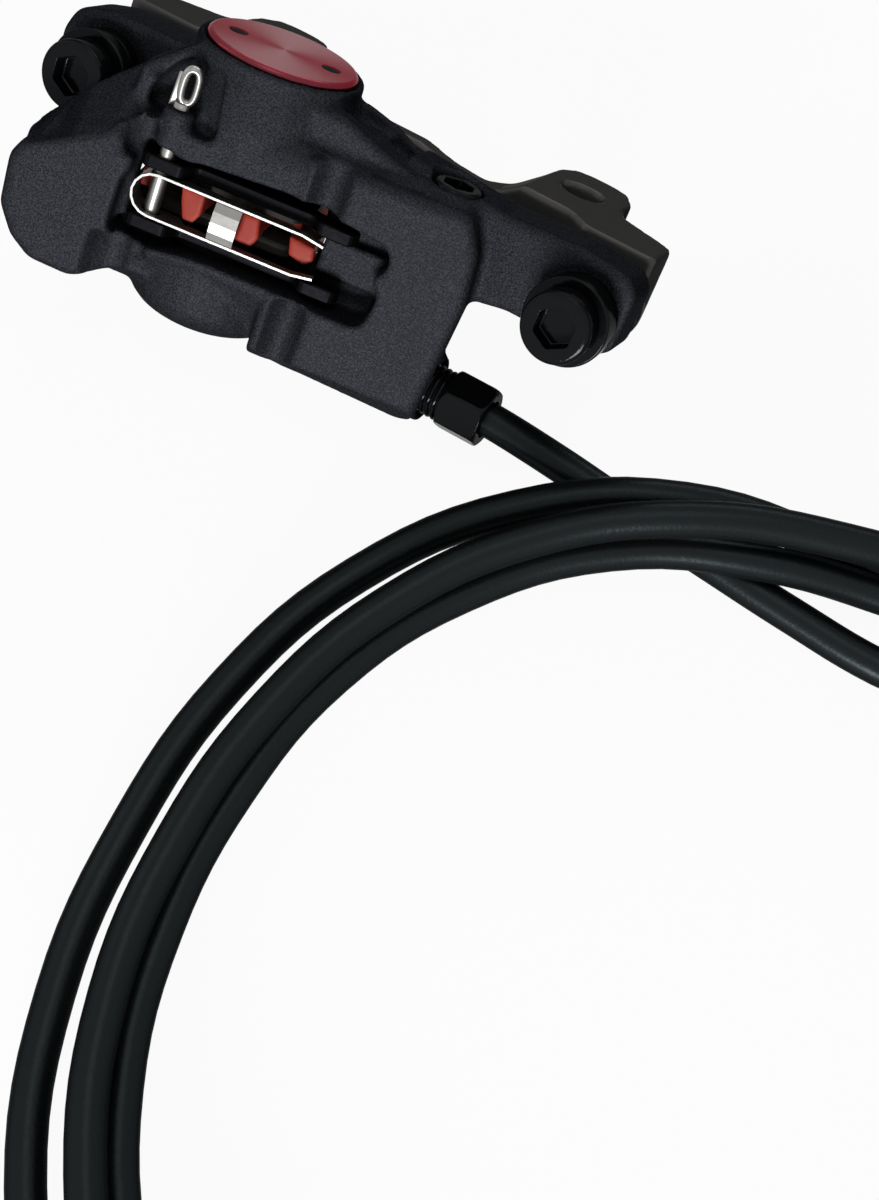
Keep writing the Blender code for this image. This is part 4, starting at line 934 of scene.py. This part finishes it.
STACK = (
    ("upper_cup", -BOLT_HEAD_HEIGHT, UPPER_HEIGHT, WASHER_RADIUS),
    ("upper_ball", -BOLT_HEAD_HEIGHT - UPPER_HEIGHT, UPPER_HEIGHT, BALL_RADIUS),
    ("lower_ball", EAR_BOTTOM, LOWER_HEIGHT, BALL_RADIUS),
    ("lower_cup", EAR_BOTTOM - LOWER_HEIGHT, LOWER_HEIGHT, WASHER_RADIUS),
)
for name, top, height, radius in STACK:
    ring = washer("left_" + name, top, height, radius)
    other = twin(ring, "right_" + name)
    for obj, side in ((ring, -1), (other, 1)):
        lay(obj, CALIPER @ Matrix.Translation((side * BOLT_SPACING / 2, 0, 0)))
        wear(obj, plated_black)
        pair_of(obj.name + "_washer", obj, "caliper")

# %% [markdown]
# The bleed screw sits in a small drilled boss, a little below its rim, with a deep socket.
# Its head could keep a sharp edge, since it is so small, but rounded it catches a ring of
# light.

# %% The bleed screw
BLEED_X = 27.7 * MM
BLEED_Z = 4.9 * MM
BLEED_RADIUS = 3.4 * MM
BLEED_TOP = 14.9 * MM
BLEED_HEIGHT = 3.0 * MM
BLEED_SHANK_RADIUS = 2.1 * MM
BLEED_SHANK_LOW = BLEED_TOP - 6 * MM
BLEED_SINK = 0.4 * MM
BLEED_FLATS = 4 * MM
BLEED_SOCKET_DEPTH = 2.4 * MM

screw = drum("bleed_plug", BLEED_RADIUS, BLEED_TOP - BLEED_HEIGHT, BLEED_TOP, faces=64)
bevel(screw, 0.6 * MM, 4)
shank_top = BLEED_TOP - BLEED_HEIGHT + BLEED_SINK
screw_shank = drum("screw_shank", BLEED_SHANK_RADIUS, BLEED_SHANK_LOW, shank_top)
carve(screw, screw_shank, "UNION")
carve(screw, hexagon("socket", BLEED_FLATS, BLEED_TOP - BLEED_SOCKET_DEPTH, BLEED_TOP + OVERSHOOT))
bevel(screw, 0.15 * MM, 2)
crisp(screw)
lay(screw, BODY @ Matrix.Translation((BLEED_X, 0, BLEED_Z)) @ ALONG_Y)
wear(screw, plated_black)
pair_of("bleed_screw", screw, "caliper")

# %% [markdown]
# The hose nut has a threaded neck, of which two ridges show, and a six sided body whose
# corners are turned off. The corners come off by keeping only what the hexagon shares with
# a bevelled drum. A true thread would be a helix, but at this size rings look the same. The
# same nut waits at the hose's loose end.

# %% The hose nuts
NUT_FLATS = 8.0 * MM
NUT_THREAD = 6.0 * MM
NUT_CORNER = 0.5 * MM
NUT_SINK = 0.3 * MM
THREAD_RADIUS = 3.7 * MM
THREAD_DEPTH = 0.45 * MM
THREAD_PITCH = 0.9 * MM
THREAD_RUNOUT = 0.4 * MM
RIDGE_HALF = 0.25 * MM
HOSE_ROOM = 2.8 * MM


def nut_piece(name):
    """A hose nut that stands on the origin, its hexagon above and its thread below."""
    top = NUT_NECK + NUT_LENGTH
    nut = hexagon(name, NUT_FLATS, NUT_NECK, top)
    turned = drum("nut_turning", NUT_FLATS / 2 + NUT_CORNER, NUT_NECK, top, faces=96)
    bevel(turned, 0.75 * MM, 3, profile=0.4)
    carve(nut, turned, "INTERSECT")
    bevel(nut, 0.2 * MM, 3)
    neck = drum("nut_neck", THREAD_RADIUS - THREAD_DEPTH, -NUT_THREAD, NUT_NECK + NUT_SINK, faces=48)
    carve(nut, neck, "UNION")
    height = -NUT_THREAD + THREAD_PITCH / 2
    while height < NUT_NECK - THREAD_RUNOUT:
        ridge = drum("ridge", THREAD_RADIUS, height - RIDGE_HALF, height + RIDGE_HALF, faces=48)
        bevel(ridge, 0.22 * MM, 2)
        carve(nut, ridge, "UNION")
        height += THREAD_PITCH
    carve(nut, drum("nut_bore", HOSE_ROOM, -NUT_THREAD - OVERSHOOT, top + OVERSHOOT, faces=48))
    crisp(nut)
    return nut


nut = nut_piece("port_nut")
lever_nut = twin(nut, "lever_nut")
lay(nut, CALIPER @ Matrix.Translation(PORT) @ ALONG_X)
lever_foot = hose_end - along * HOSE_TIP
facing_hose = (-along).to_track_quat("Z", "Y").to_matrix().to_4x4()
lay(lever_nut, Matrix.Translation(lever_foot) @ facing_hose)
for obj, node in ((nut, "hose_nut"), (lever_nut, "lever_hose_nut")):
    wear(obj, plated_black)
    pair_of(node, obj, "caliper")

# %% [markdown]
# A split pin holds the pads: half round wire folded on itself, so its shank is round with
# a slit, and its fold stands up as an oval eye. Two half round wires could be modelled, but
# it is quicker to cut a round shank with a thin plate.

# %% The split pin's shank
PIN_RADIUS = 1.05 * MM
PIN_TIP = -5.0 * MM
EYE_HEIGHT = 14.85 * MM
SHANK_TOP = EYE_HEIGHT - 2.3 * MM
SLIT_TOP = 12 * MM

pin = drum("split_pin", PIN_RADIUS, PIN_TIP, SHANK_TOP, faces=40)
slit = slab("slit", oblong(-2, 2, -0.12, 0.12), PIN_TIP - OVERSHOOT, SLIT_TOP)
carve(pin, slit)
bevel(pin, 0.15 * MM, 2)
print("pin's length without its eye, mm:", round((SHANK_TOP - PIN_TIP) / MM, 2))

# %% [markdown]
# The eye is a curve with a round bevel, drawn out into an oval, made a mesh and then widened
# into a band. A torus could be stretched too, but its wire would thin out at the sides. A
# spare leaf of wire stands beside the eye.

# %% The split pin's eye
EYE_OVAL = (0.95, 2.2)
EYE_WIRE = 0.56 * MM
EYE_BAND = 1.4
EYE_SHIFT = 0.3 * MM
EYE_TURN = math.radians(12)
LEAF_LOW = 10.8 * MM
LEAF_HIGH = 16.2 * MM
LEAF_PLACE = Vector((-1.6, 0.6, 0)) * MM
LEAF_LEAN = math.radians(3)

bpy.ops.object.select_all(action="DESELECT")
bpy.ops.curve.primitive_bezier_circle_add(radius=1 * MM)
eye = bpy.context.active_object
eye.data.bevel_depth = EYE_WIRE
eye.data.bevel_resolution = 5
eye.data.resolution_u = 16
for point in eye.data.splines[0].bezier_points:
    for handle in ("co", "handle_left", "handle_right"):
        place = getattr(point, handle)
        setattr(point, handle, Vector((place.x * EYE_OVAL[0], place.y * EYE_OVAL[1], 0)))
bpy.ops.object.convert(target="MESH")
eye = bpy.context.active_object
eye.matrix_world = UPRIGHT @ Matrix.Diagonal((1, 1, EYE_BAND, 1))
lay(eye, Matrix.Translation((EYE_SHIFT, 0, EYE_HEIGHT)))
leaf = slab("leaf", oblong(-0.75, 0.75, -0.25, 0.25), LEAF_LOW, LEAF_HIGH)
bevel(leaf, 0.2 * MM, 3)
lay(leaf, Matrix.Translation(LEAF_PLACE) @ Matrix.Rotation(LEAF_LEAN, 4, "Y"))
merge(pin, eye, leaf)
lay(pin, at_pin @ Matrix.Rotation(EYE_TURN, 4, "Z"))
smooth(pin, angle=40)
wear(pin, bright_steel)
pair_of("pad_pin", pin, "caliper")

# %% [markdown]
# The transport spacer is a plate between the linings with lumps that look out between the
# spring's legs. Moulded plastic has no crisp edge anywhere. Bevels would round each lump by
# itself and leave a seam at its foot, so plate and lumps are fused by a remesh and smoothed
# well.

# %% The transport spacer
PLATE_OUTLINE = (
    (-12.0, 6.6), (-9.9, 6.6), (-9.4, 2.0), (-5.6, 2.0), (-5.0, 8.0), (-2.6, 8.0), (-2.0, 2.0),
    (2.6, 2.0), (3.2, 8.0), (5.4, 8.0), (6.0, 2.0), (9.8, 2.0), (10.3, 8.0), (12.8, 8.0),
    (13.5, 4.0), (11.0, -15.2), (-9.4, -15.2),
)
GRIP_OUTLINE = ((-8.4, -14), (10, -14), (10, -18.4), (9.2, -19), (-7.6, -19), (-8.4, -18.4))
LUMPS = (
    (((-5.6, 2.2), (-2.3, 2.2), (-2.2, -0.6), (-3.0, -2.1), (-4.4, -2.1), (-5.2, 0.2)), 10.6),
    (((2.9, 2.1), (5.3, 2.1), (5.9, -0.6), (5.2, -2.1), (2.6, -2.1), (2.9, 0.0)), 10.5),
    (((9.6, 1.3), (13.2, 0.9), (13.6, -0.9), (12.4, -1.9), (10.2, -1.3)), 9.8),
)
PLATE_HALF = 1.2 * MM
GRIP_HALF = 2.3 * MM
LUMP_FOOT = 7.3 * MM

spacer = slab("orange_spacer", PLATE_OUTLINE, -PLATE_HALF, PLATE_HALF)
lay(spacer, UPRIGHT)
grip = slab("grip", GRIP_OUTLINE, -GRIP_HALF, GRIP_HALF)
lay(grip, UPRIGHT)
lumps = [slab("lump", outline, LUMP_FOOT, top * MM) for outline, top in LUMPS]
merge(spacer, grip, *lumps)
modify(spacer, "REMESH", mode="VOXEL", voxel_size=0.22 * MM)
modify(spacer, "SMOOTH", factor=0.5, iterations=9)
lay(spacer, BODY)
alone(spacer)
bpy.ops.object.shade_smooth()
wear(spacer, orange_plastic)
pair_of("transport_spacer", spacer, "caliper")

# %% [markdown]
# The rest of the solids have the right shape already. Copies of them could be refined, but
# shading by angle is enough to make their turned faces look round. So each keeps its mesh
# and only gets its finish.

# %% Finishes on the solids that stay
ROUND_ANGLE = 32
KEPT = {
    "bore_cap_oring": seal_rubber_and_hole_shade, "outboard_piston": piston_resin,
    "inboard_piston": piston_resin, "outboard_piston_seal": seal_rubber_and_hole_shade,
    "inboard_piston_seal": seal_rubber_and_hole_shade, "outboard_pad_plate": dark_steel,
    "inboard_pad_plate": dark_steel, "outboard_pad_lining": lining,
    "inboard_pad_lining": lining, "pad_spring": bright_steel,
    "bleed_screw_oring": seal_rubber_and_hole_shade, "hose_olive": olive_brass, "hose_insert": bright_steel,
    "lever_hose_olive": olive_brass, "lever_hose_insert": bright_steel,
}
for node, finish in KEPT.items():
    wear(frame["nodes"][node], finish)
    smooth(frame["nodes"][node], ROUND_ANGLE)
print("solids that keep their shape:", len(KEPT))

# %% [markdown]
# The hose gets its finish, the solid that it stands for is hidden, and it moves with the caliper.

# %% The hose's finish and body
wear(hose, hose_black)
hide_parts("brake_hose")
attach(hose, "caliper")
print("hose leaves the nut at, mm:", [round(side / MM, 1) for side in hose_mouth])

# %% [markdown]
# The background is white, and it must not come from more light on the brake. So the floor
# and the sky look white to the camera and in reflections, and light the brake at a plain
# level. A floor that only glowed would hide the shadow, so a small share of what the camera
# sees of it is lit paper, which keeps a soft one.

# %% Floor and sky
FLOOR_SIZE = 6.0
FLOOR_DROP = 0.1 * MM
FLOOR_BOUNCE = 0.3
GLOW_SHARE = 0.94
PAPER = (0.98, 0.98, 0.98, 1)
WHITE = (1, 1, 1, 1)
SKY_TINT = (0.96, 0.98, 1.0, 1)
SKY_LEVEL = 0.12


def seen_directly(wire):
    """1 for what the camera, a reflection or a pane shows, else 0."""
    rays = wire.node("LightPath", {}, output="Is Camera Ray")
    shown = rays + rays.also("Is Glossy Ray") + rays.also("Is Transmission Ray")
    return rays.maths("MINIMUM", shown, 1.0)


def close(tree, kind, wire):
    """Ends a tree of nodes at its output."""
    out = tree.nodes.new("ShaderNodeOutput" + kind)
    tree.links.new(wire.socket, out.inputs["Surface"])


bpy.ops.object.select_all(action="DESELECT")
bpy.ops.mesh.primitive_plane_add(size=FLOOR_SIZE, location=(0, 0, -FLOOR_DROP))
floor = bpy.context.active_object
floor.name = "floor"
paper = bpy.data.materials.new("floor_paper")
paper.use_nodes = True
paper.node_tree.nodes.clear()
start = Wire(paper.node_tree)
lit = start.node("BsdfDiffuse", {"Color": PAPER})
glow = start.node("Emission", {"Color": WHITE, "Strength": 1.0})
seen = start.node("MixShader", {0: GLOW_SHARE, 1: lit, 2: glow})
bounce = start.node("BsdfDiffuse", {"Color": (FLOOR_BOUNCE, FLOOR_BOUNCE, FLOOR_BOUNCE, 1)})
close(paper.node_tree, "Material", start.node("MixShader", {0: seen_directly(start), 1: bounce, 2: seen}))
floor.data.materials.append(paper)
floor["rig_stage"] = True

world = bpy.data.worlds.new("studio")
world.use_nodes = True
world.node_tree.nodes.clear()
bpy.context.scene.world = world
sky = Wire(world.node_tree)
dim = sky.node("Background", {"Color": SKY_TINT, "Strength": SKY_LEVEL})
white = sky.node("Background", {"Color": WHITE, "Strength": 1.0})
close(world.node_tree, "World", sky.node("MixShader", {0: seen_directly(sky), 1: dim, 2: white}))
print("floor's share that glows:", GLOW_SHARE, "and the sky's level:", SKY_LEVEL)

# %% [markdown]
# The main light is one soft box low in front, like a window at table height. The brake's
# front faces mirror it to the camera and turn grey, and what turns away falls off into
# black. A weak box above lights the table, and two narrow strips, behind and on the left,
# draw thin lights on the edges.

# %% Lamps
AIM = (0.03, -0.03, 0.01)
# Each lamp's name, place, width and height in metres, and watts
LAMPS = (
    ("window_box", (0.19, -0.62, 0.13), (0.30, 0.14), 4.7),
    ("top_box", (0.05, 0.05, 0.70), (0.30, 0.30), 0.5),
    ("back_strip", (-0.06, 0.44, 0.20), (0.40, 0.10), 0.55),
    ("left_strip", (-0.36, -0.05, 0.22), (0.03, 0.30), 0.10),
)
for name, place, size, watts in LAMPS:
    lamp = bpy.data.lights.new(name, "AREA")
    lamp.shape = "RECTANGLE"
    lamp.size, lamp.size_y = size
    lamp.energy = watts
    obj = bpy.data.objects.new(name, lamp)
    bpy.context.scene.collection.objects.link(obj)
    obj.location = place
    obj.rotation_euler = (Vector(place) - Vector(AIM)).to_track_quat("Z", "Y").to_euler()
    print(name, "shines with", watts, "W")

# %% [markdown]
# The Standard view shows each colour as it is written. The box of what was dressed is measured and
# printed.

# %% The view and the dressed box
scene = bpy.context.scene
scene.view_settings.view_transform = "Standard"
low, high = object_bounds()
print("dressed box in mm:", [round(1000 * side, 1) for side in high - low])
